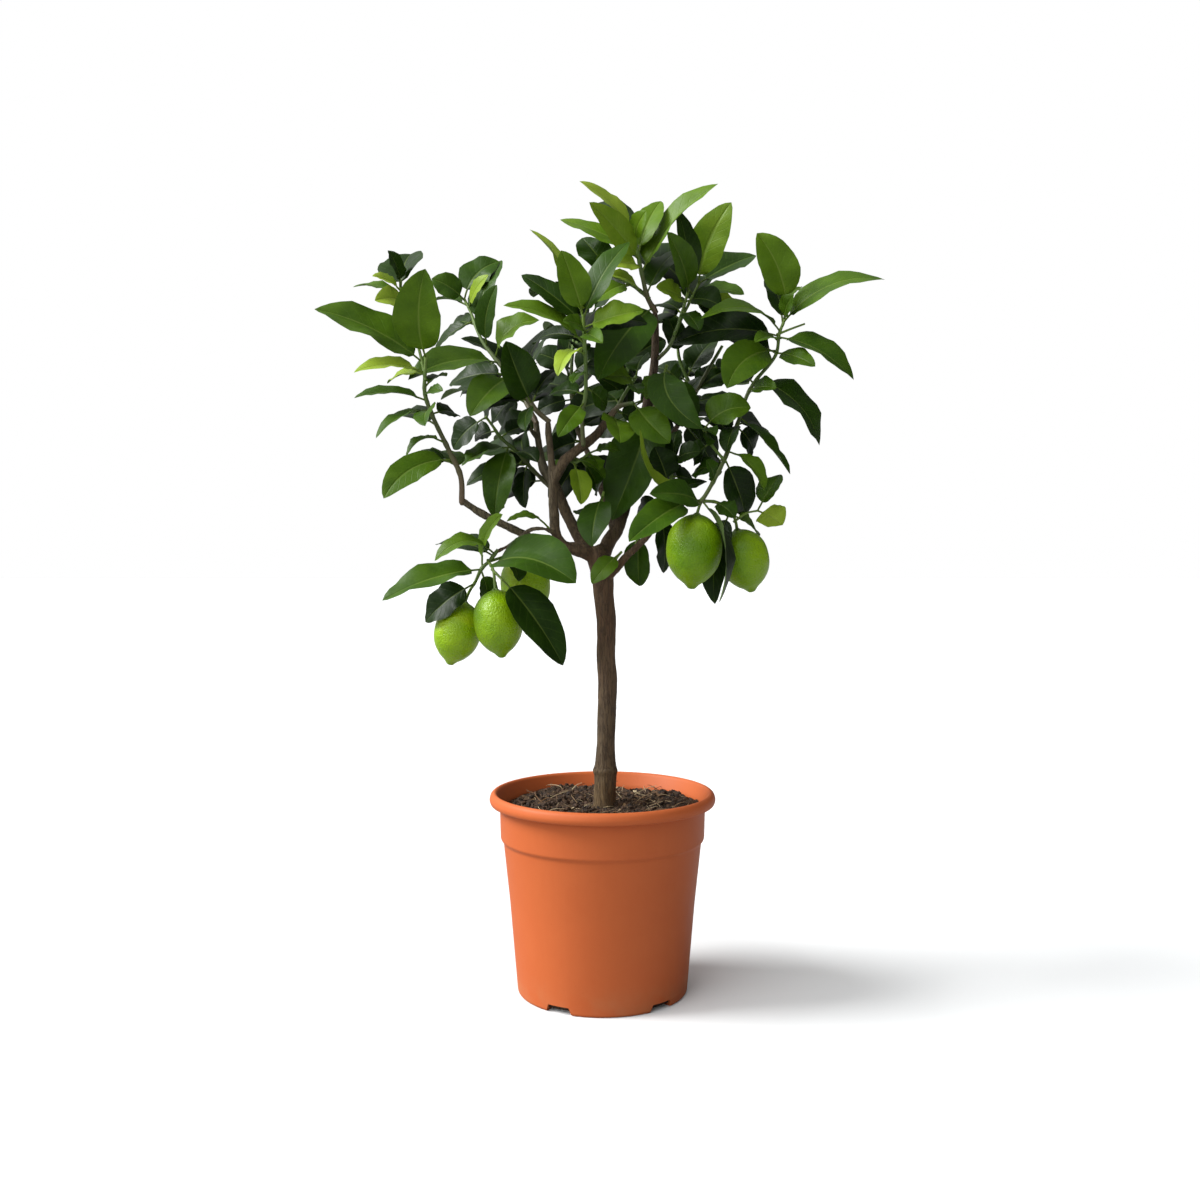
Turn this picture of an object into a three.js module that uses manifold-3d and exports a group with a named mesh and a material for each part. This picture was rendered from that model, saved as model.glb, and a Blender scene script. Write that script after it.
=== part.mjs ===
// Potted lemon tree: a young standard in a 19 cm nursery pot. Millimetres, +Z up, pot centred on the origin.
import * as THREE from 'three';
import { mergeVertices } from 'three/addons/utils/BufferGeometryUtils.js';
import Module from 'manifold-3d';

const wasm = await Module();
wasm.setup();
const { Manifold, Mesh } = wasm;

// ---------------------------------------------------------------- driving dimensions
// where the front view was taken from; readings are moved to depth along its sight lines
const EYE = [-2.1, -1126.6, 390.2];
const GAP = 0.35;                   // clearance between bodies that only touch
const POT = { sides: 36, notches: 5, notchTop: 6.5, firstNotch: -30 };
const SOIL_TOP = 154.5;
const PETIOLE = 8;                  // length of a leaf stalk
const BLADE = 1.3;                  // thickness of a blade at its midrib
const SPREAD = 1.7;                 // how far blades reach towards and away from the viewer

// ---------------------------------------------------------------- small vector sums
const add = (a, b) => [a[0] + b[0], a[1] + b[1], a[2] + b[2]];
const sub = (a, b) => [a[0] - b[0], a[1] - b[1], a[2] - b[2]];
const mul = (a, k) => [a[0] * k, a[1] * k, a[2] * k];
const dot = (a, b) => a[0] * b[0] + a[1] * b[1] + a[2] * b[2];
const cross = (a, b) => [a[1] * b[2] - a[2] * b[1], a[2] * b[0] - a[0] * b[2], a[0] * b[1] - a[1] * b[0]];
const size = (a) => Math.sqrt(dot(a, a));
const unit = (a) => mul(a, 1 / (size(a) || 1));
const mix = (a, b, t) => add(mul(a, 1 - t), mul(b, t));
const clamp = (x, lo, hi) => Math.max(lo, Math.min(hi, x));

// A point read at (x, z) in the upright plane through the trunk, moved to depth y along its sight line.
const sight = (x, z, y) => {
  const k = (y - EYE[1]) / -EYE[1];
  return [EYE[0] + (x - EYE[0]) * k, y, EYE[2] + (z - EYE[2]) * k];
};

// Seeded random numbers in 0..1.
const seeded = (seed) => {
  let a = seed >>> 0;
  return () => {
    a = (a + 0x6d2b79f5) >>> 0;
    let t = Math.imul(a ^ (a >>> 15), 1 | a);
    t = (t + Math.imul(t ^ (t >>> 7), 61 | t)) ^ t;
    return ((t ^ (t >>> 14)) >>> 0) / 4294967296;
  };
};

// ---------------------------------------------------------------- solids
// A closed body from points and triangles, turned outwards if it came inside out.
const solid = (points, faces) => {
  let volume = 0;
  for (const [a, b, c] of faces) volume += dot(points[a], cross(points[b], points[c]));
  const tri = faces.flatMap(([a, b, c]) => (volume < 0 ? [a, c, b] : [a, b, c]));
  const mesh = new Mesh({ numProp: 3, vertProperties: new Float32Array(points.flat()),
    triVerts: new Uint32Array(tri) });
  mesh.merge();
  return new Manifold(mesh);
};

// A body through rings of equal count; each end is a flat cap, or comes to a point.
const loft = (rings, first = null, last = null) => {
  const n = rings[0].length;
  const points = rings.flat();
  const faces = [];
  for (let i = 0; i + 1 < rings.length; i++) {
    for (let k = 0; k < n; k++) {
      const a = i * n + k, b = i * n + ((k + 1) % n), c = a + n, d = b + n;
      faces.push([a, b, d], [a, d, c]);
    }
  }
  const end = (base, apex, flip) => {
    const push = (a, b, c) => faces.push(flip ? [a, c, b] : [a, b, c]);
    if (apex) {
      points.push(apex);
      for (let k = 0; k < n; k++) push(base + ((k + 1) % n), base + k, points.length - 1);
    } else {
      for (let k = 1; k + 1 < n; k++) push(base, base + k + 1, base + k);
    }
  };
  end(0, first, false);
  end((rings.length - 1) * n, last, true);
  return solid(points, faces);
};

// A body turned about the vertical axis from a closed outline of [radius, height].
const turned = (outline, sides) => {
  const points = [], faces = [], n = outline.length;
  for (let k = 0; k < sides; k++) {
    const a = (2 * Math.PI * k) / sides;
    for (const [r, z] of outline) points.push([r * Math.cos(a), r * Math.sin(a), z]);
  }
  for (let k = 0; k < sides; k++) {
    for (let i = 0; i < n; i++) {
      const near = k * n, far = ((k + 1) % sides) * n, next = (i + 1) % n;
      const a = near + i, b = near + next, c = far + i, d = far + next;
      if (outline[i][0] > 0 || outline[(i + 1) % n][0] > 0) {
        if (outline[i][0] === 0) faces.push([a, b, d]);
        else if (outline[(i + 1) % n][0] === 0) faces.push([a, b, c]);
        else faces.push([a, b, d], [a, d, c]);
      }
    }
  }
  return solid(points, faces);
};

// A round limb through [x, y, z, diameter] points.
const tube = (path, sides, grow = 0) => {
  const rings = [];
  let up = [0, 1, 0];
  path.forEach((p, i) => {
    const dir = unit(sub(path[Math.min(i + 1, path.length - 1)], path[Math.max(i - 1, 0)]));
    up = unit(sub(up, mul(dir, dot(up, dir))));
    const side = cross(dir, up), r = p[3] / 2 + grow;
    rings.push(Array.from({ length: sides }, (_, k) => {
      const a = (2 * Math.PI * k) / sides;
      return add(p, add(mul(up, r * Math.cos(a)), mul(side, r * Math.sin(a))));
    }));
  });
  return loft(rings);
};

const limb = (readings) => readings.map(([x, z, y, d]) => [...sight(x, z, y), d * ((y - EYE[1]) / -EYE[1])]);

// ---------------------------------------------------------------- pot
// Its drain notches run through the foot of the wall and on into the floor.
const pot = () => {
  const outline = [
    [0, 0], [70.4, 0], [71.6, 1.8], [77.7, 75.6], [83.1, 127.4], [85.5, 130.4], [86.2, 158.4],
    [93.8, 159.2], [95, 162.6], [93.6, 167.6], [90.6, 169.4], [88.1, 167.4], [83.4, 157], [81.2, 128], [69,
    2.6], [0, 2.6],
  ];
  const block = (deg, low, high) => {
    const ring = (h, z) => [[57, -h], [76, -h], [76, h], [57, h]].map(([r, b]) => {
      const a = (deg * Math.PI) / 180;
      return [r * Math.cos(a) - b * Math.sin(a), r * Math.sin(a) + b * Math.cos(a), z];
    });
    return loft([ring(low, -1), ring(high, POT.notchTop)]);
  };
  let body = turned(outline, POT.sides);
  for (let k = 0; k < POT.notches; k++) {
    body = body.subtract(block(-90 + POT.firstNotch + (360 / POT.notches) * k, 12.4, 9.6));
  }
  return body;
};

// ---------------------------------------------------------------- soil, with a plain hole for the trunk
const soilHeight = (r, a) => {
  const x = r * Math.cos(a), y = r * Math.sin(a);
  const right = 6.5 * Math.exp(-((x - 48) ** 2 + (y - 22) ** 2) / 900);
  const heap = right + 4.5 * Math.exp(-((x + 30) ** 2 + (y - 50) ** 2) / 1400);
  const lumps = 1.1 * Math.sin(0.21 * x + 1) * Math.cos(0.19 * y) + 0.9 * Math.sin(0.37 * x - 0.31 * y + 2);
  return SOIL_TOP + heap + lumps * clamp((r - 12) / 20, 0, 1);
};
const soil = (hole) => {
  const wall = [[68.5, 3.05], [80.7, 128], [82.6, 150]];
  const radii = [66, 42, 20];
  const rings = wall.map(([r, z], i) => Array.from({ length: POT.sides }, (_, k) => {
    const a = (2 * Math.PI * k) / POT.sides;
    const top = i === 2 ? Math.min(soilHeight(r, a), 159.5) : z;
    const out = i === 2 ? 80.7 + ((top - 128) * 2.1) / 29.5 : r;
    return [out * Math.cos(a), out * Math.sin(a), top];
  }));
  for (const r of radii) {
    rings.push(Array.from({ length: POT.sides }, (_, k) => {
      const a = (2 * Math.PI * k) / POT.sides;
      return [r * Math.cos(a), r * Math.sin(a), soilHeight(r, a)];
    }));
  }
  return loft(rings, null, null).subtract(hole);
};

// ---------------------------------------------------------------- wood: trunk and main branches, [x, z,
// depth, diameter]
const TRUNK = [
  [1, 108, 0, 17], [1.1, 125, 0, 19], [1.3, 151, 0, 19.4], [2.4, 180, 0, 18.4], [2.5, 186, 0, 20.4], [2.6,
  191, 0, 18], [2.8, 209, 0, 15.5],
  [3.9, 241, 0, 15.9], [4.4, 262, 0, 16.2], [2.7, 284, 0, 15.8], [3.3, 310, 0, 16.5], [1.2, 333, 0, 16.9],
  [0, 350, 0, 18.4], [-3.5, 366, 0, 19], [-7, 374, 1, 13],
];
const BRANCHES = {
  left: [[-4, 366, 0, 14], [-18, 371, -4, 12], [-33, 374.5, -9, 8.6], [-52, 379, -15, 7.4],
    [-69, 386, -21, 6.8], [-101, 402, -33, 6.4], [-116, 412, -40, 5.8]],
  leftUp: [[-30, 373, -8, 8], [-37, 381, -12, 8], [-39.5, 390, -16, 8], [-40, 399, -19, 8.6],
    [-41, 410, -22, 7.6], [-41.3, 428, -25, 7.4], [-44, 459, -31, 5.6], [-45.5, 477, -34, 4.8]],
  back: [[-6, 366, 2, 13], [-17, 377, 7, 10.5], [-31, 404, 18, 9], [-39, 424, 25, 8.6],
    [-49, 439, 32, 7.6], [-53, 460, 40, 6], [-55, 476, 46, 5]],
  crown: [[-2, 362, 2, 14], [5, 378, 5, 12.5], [13, 391, 8, 11.6], [24, 430, 14, 10.4], [34, 476, 18, 9],
    [42, 518, 16, 7.6], [43.6, 545, 12, 6.6], [43, 567, 6, 5.4]],
  middle: [[-41.2, 427, -25, 7], [-33, 443, -32, 8.6], [-30, 447, -33, 8.4], [-20, 455, -32, 8],
    [-5, 467, -28, 7.6], [4, 479, -26, 6]],
  right: [[1, 346, 0, 10], [9, 353, -6, 7], [20, 366, -16, 6], [35, 380, -27, 5.6], [43, 391, -33, 5.4],
    [54, 400, -39, 5.2], [67, 409.5, -44, 4.6]],
  arch: [[-39.2, 385, -15, 4], [-43.5, 387, -22, 3.6], [-50, 389, -28, 3.4], [-60, 388, -34, 3.4],
    [-70, 381, -39, 3.2], [-80, 374, -43, 3], [-88, 370, -46, 2.8]],
  spur: [[-53, 462, 41, 4], [-60, 472, 38, 3.4], [-64, 479, 36, 2.6]],
  rear: [[10, 388, 7, 8], [6, 404, 24, 7], [-2, 424, 48, 6], [-10, 446, 70, 5]],
  rearRight: [[22, 424, 13, 7], [34, 440, 30, 6], [50, 458, 52, 5], [62, 474, 70, 4.4]],
};
const wood = (grow = 0) => {
  let body = tube(limb(TRUNK), 9, grow);
  for (const path of Object.values(BRANCHES)) {
    body = body.add(tube(limb(path), path[0][3] > 7.5 ? 6 : 5, grow));
  }
  return body;
};

// ---------------------------------------------------------------- lemons
// Each is [name, x and z of its top, x and z of its tip, depth, width].
const LEMONS = [
  ['lemon_left_front', -89.5, 338, -84, 281, -60, 41.5],
  ['lemon_left_outer', -115, 327.5, -128, 275, -36, 39.5],
  ['lemon_left_inner', -66, 368, -62, 312, -12, 42],
  ['lemon_right_front', 78.8, 401, 74.2, 338.5, -50, 47],
  ['lemon_right_rear', 112, 388, 125, 336, -12, 42],
];
const lemonAxis = ([, x0, z0, x1, z1, y]) => [sight(x0, z0, y), sight(x1, z1, y - 3)];
const lemonWidth = (row) => row[6] * ((row[5] - EYE[1]) / -EYE[1]);
const LEMON_OUTLINE = [[0.006, 0.2], [0.05, 0.47], [0.14, 0.75], [0.27, 0.94], [0.43, 1], [0.6, 0.96],
  [0.74, 0.81], [0.86, 0.54], [0.93, 0.28]];
const lemon = (row) => {
  const [top, tip] = lemonAxis(row);
  const dir = unit(sub(tip, top)), up = unit(sub([0, 1, 0], mul(dir, dir[1]))), side = cross(dir, up);
  const rings = LEMON_OUTLINE.map(([t, r]) => Array.from({ length: 10 }, (_, k) => {
    const a = (2 * Math.PI * k) / 10, w = (r * lemonWidth(row)) / 2;
    return add(mix(top, tip, t), add(mul(up, w * Math.cos(a)), mul(side, w * Math.sin(a))));
  }));
  return loft(rings, null, tip);
};

// ---------------------------------------------------------------- leaves
// Half-width of a blade along its length, 1 at the broadest place.
const outlineAt = (t) => (Math.sqrt(t) * (1 - t) ** 0.75) / 0.4312;

// A leaf: base, tip, width, how much of its upper side faces the viewer, arch, sideways sweep and small
// seeded differences.
const makeLeaf = (base, tip, width, face, arch, sweep, random) => {
  const chord = sub(tip, base), length = size(chord), d = unit(chord);
  const look = unit(sub(EYE, mix(base, tip, 0.5)));
  const flat = unit(sub(look, mul(d, dot(look, d)))), s = cross(d, flat);
  const lean = Math.sqrt(1 - face * face) * (s[2] >= 0 ? 1 : -1);
  const normal = unit(add(mul(flat, face), mul(s, lean)));
  const side = cross(d, normal);
  const bend = add(mix(base, tip, 0.5), mul(add(mul(normal, arch), mul(side, sweep)), 2 * length));
  return {
    base, tip, bend, normal, width, length,
    fold: 0.16 + 0.24 * random(), wave: 0.05 + 0.1 * random(),
    beat: 1.2 + 1.2 * random(), phase: 6.283 * random(),
    twist: 0.5 * (random() - 0.5), stalk: Math.min(0.2, PETIOLE / length), sink: 0.7,
  };
};
// Point of the blade at u along it and v across it (-1..1), and the direction out of its upper side.
const leafPoint = (leaf, u, v) => {
  const early = add(mul(leaf.base, (1 - u) * (1 - u)), mul(leaf.bend, 2 * u * (1 - u)));
  const q = add(early, mul(leaf.tip, u * u));
  const dir = unit(add(mul(sub(leaf.bend, leaf.base), 1 - u), mul(sub(leaf.tip, leaf.bend), u)));
  const s0 = unit(cross(dir, leaf.normal)), n0 = cross(s0, dir);
  const c = Math.cos(leaf.twist * u), w = Math.sin(leaf.twist * u);
  const s = add(mul(s0, c), mul(n0, w)), n = sub(mul(n0, c), mul(s0, w));
  const t = clamp((u - leaf.stalk) / (1 - leaf.stalk), 0, 1);
  const h = Math.max(u < 0.9 ? 0.9 : 0, (leaf.width / 2) * outlineAt(t));
  const ripple = leaf.wave * Math.sin(6.283 * leaf.beat * t + leaf.phase + (v > 0 ? 2 : 0));
  const lift = t > 0 ? leaf.fold + ripple : 0;
  return [add(q, add(mul(s, v * h), mul(n, Math.abs(v) * h * lift))), n];
};
const stations = (leaf) => {
  const along = leaf.width < 25 ? [0.13, 0.43, 0.79] : [0.1, 0.34, 0.62, 0.86];
  return along.map((t) => leaf.stalk + (1 - leaf.stalk) * t);
};
const leafSolid = (leaf) => {
  const dir = unit(sub(leaf.bend, leaf.base)), start = leafPoint(leaf, leaf.stalk * 0.75, 0)[0];
  const s = mul(unit(cross(dir, leaf.normal)), 0.95), n = mul(unit(cross(s, dir)), 0.85);
  const rings = [[sub(start, s), add(start, n), add(start, s), sub(start, n)]];
  for (const u of stations(leaf)) {
    const [mid, up] = leafPoint(leaf, u, 0);
    rings.push([leafPoint(leaf, u, -1)[0], add(mid, mul(up, BLADE / 2)), leafPoint(leaf, u, 1)[0],
      sub(mid, mul(up, BLADE / 2))]);
  }
  const points = rings.flat(), faces = [], last = (rings.length - 1) * 4;
  points.push(leaf.tip, sub(leaf.base, mul(dir, leaf.sink)));
  for (let i = 0; i < last; i += 4) {
    for (let k = 0; k < 4; k++) {
      const a = i + k, b = i + ((k + 1) % 4), c = a + 4, d = b + 4;
      if (k % 2 === 0) faces.push([a, b, d], [a, d, c]);
      else faces.push([a, b, c], [b, d, c]);
    }
  }
  for (let k = 0; k < 4; k++) faces.push([last + k, last + ((k + 1) % 4), points.length - 2],
    [(k + 1) % 4, k, points.length - 1]);
  return solid(points, faces);
};

// ---------------------------------------------------------------- clearance between leaves, limbs and fruit
const pointSegment = (p, a, b) => {
  const ab = sub(b, a), t = clamp(dot(sub(p, a), ab) / dot(ab, ab), 0, 1);
  return size(sub(p, add(a, mul(ab, t))));
};
const pointTriangle = (p, [a, b, c]) => {
  const n = cross(sub(b, a), sub(c, a)), nn = dot(n, n);
  if (nn > 1e-9) {
    const k = dot(sub(p, a), n) / nn, q = sub(p, mul(n, k));
    const inside = dot(cross(sub(b, a), sub(q, a)), n) >= 0 && dot(cross(sub(c, b), sub(q, b)),
      n) >= 0 && dot(cross(sub(a, c), sub(q, c)), n) >= 0;
    if (inside) return Math.abs(k) * Math.sqrt(nn);
  }
  return Math.min(pointSegment(p, a, b), pointSegment(p, b, c), pointSegment(p, c, a));
};
const pierces = (p, q, [a, b, c]) => {
  const e1 = sub(b, a), e2 = sub(c, a), d = sub(q, p), h = cross(d, e2), det = dot(e1, h);
  if (Math.abs(det) < 1e-9) return false;
  const s = sub(p, a), u = dot(s, h) / det, g = cross(s, e1), v = dot(d, g) / det, t = dot(e2, g) / det;
  return u >= 0 && v >= 0 && u + v <= 1 && t >= 0 && t <= 1;
};
const segments = (p, q, a, b) => {
  const d1 = sub(q, p), d2 = sub(b, a), r = sub(p, a), aa = dot(d1, d1), e = dot(d2, d2), f = dot(d2,
    r), c = dot(d1, r), m = dot(d1, d2);
  const den = aa * e - m * m;
  let s = den > 1e-9 ? clamp((m * f - c * e) / den, 0, 1) : 0;
  const t = clamp((m * s + f) / e, 0, 1);
  s = clamp((m * t - c) / aa, 0, 1);
  return size(sub(add(p, mul(d1, s)), add(a, mul(d2, t))));
};
const boxOf = (points, pad) => [0, 1, 2].map((k) => [Math.min(...points.map((p) => p[k])) - pad,
  Math.max(...points.map((p) => p[k])) + pad]);
const boxesMeet = (a, b) => a.every(([lo, hi], k) => lo <= b[k][1] && hi >= b[k][0]);

// The blade as a few plain triangles, edges and points, for the checks of clearance.
const skeleton = (leaf) => {
  const rows = [0.55 * leaf.stalk, ...stations(leaf)].map((u) => [-1, 0,
    1].map((v) => leafPoint(leaf, u, v)[0]));
  const triangles = [], edges = [], points = [...rows.flat(), leaf.tip];
  for (let i = 0; i + 1 < rows.length; i++) {
    for (const k of [0, 1]) {
      const [a, b, c, d] = [rows[i][k], rows[i][k + 1], rows[i + 1][k], rows[i + 1][k + 1]];
      triangles.push([a, b, d], [a, d, c]);
      points.push(mix(a, d, 0.5), mix(b, d, 0.5), mix(a, c, 0.5));
    }
    for (const k of [0, 1, 2]) edges.push([rows[i][k], rows[i + 1][k]]);
    edges.push([rows[i + 1][0], rows[i + 1][1]], [rows[i + 1][1], rows[i + 1][2]]);
  }
  const end = rows[rows.length - 1];
  triangles.push([end[0], end[1], leaf.tip], [end[1], end[2], leaf.tip]);
  for (const k of [0, 1, 2]) edges.push([end[k], leaf.tip]);
  return { triangles, edges, points, box: boxOf(points, 0) };
};
const NEAR = 1.7; // least distance kept between two blades
const leavesClear = (a, b, own) => {
  if (!boxesMeet(a.box.map(([lo, hi]) => [lo - NEAR, hi + NEAR]), b.box)) return true;
  const ta = own ? a.triangles.slice(4) : a.triangles, tb = own ? b.triangles.slice(4) : b.triangles;
  const ea = own ? a.edges.slice(5) : a.edges, eb = own ? b.edges.slice(5) : b.edges;
  for (const [p, q] of ea) for (const t of tb) if (pierces(p, q, t)) return false;
  for (const [p, q] of eb) for (const t of ta) if (pierces(p, q, t)) return false;
  if (own) return true;
  for (const p of a.points) for (const t of tb) if (pointTriangle(p, t) < NEAR) return false;
  for (const p of b.points) for (const t of ta) if (pointTriangle(p, t) < NEAR) return false;
  return true;
};
const limbClear = (leaf, [p, q], own) => {
  const r = Math.max(p[3], q[3]) / 2 + (own ? 0.4 : 1.3);
  if (!boxesMeet(leaf.box, boxOf([p, q], r))) return true;
  const t = own ? leaf.triangles.slice(4) : leaf.triangles, e = own ? leaf.edges.slice(5) : leaf.edges;
  for (const tri of t) if (pierces(p, q, tri)) return false;
  for (const [a, b] of e) if (segments(a, b, p, q) < r) return false;
  return own || leaf.points.every((x) => pointSegment(x, p, q) >= r);
};
const fruitClear = (leaf, row) => {
  const [top, tip] = lemonAxis(row), dir = unit(sub(tip, top)), centre = mix(top, tip,
    0.47), half = size(sub(tip, top)) / 2, r = lemonWidth(row) / 2;
  return leaf.points.every((p) => {
    const v = sub(p, centre), along = dot(v, dir), off = size(sub(v, mul(dir, along)));
    return (along / (half + 1)) ** 2 + (off / (r + 1.6)) ** 2 > 1;
  });
};

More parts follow.
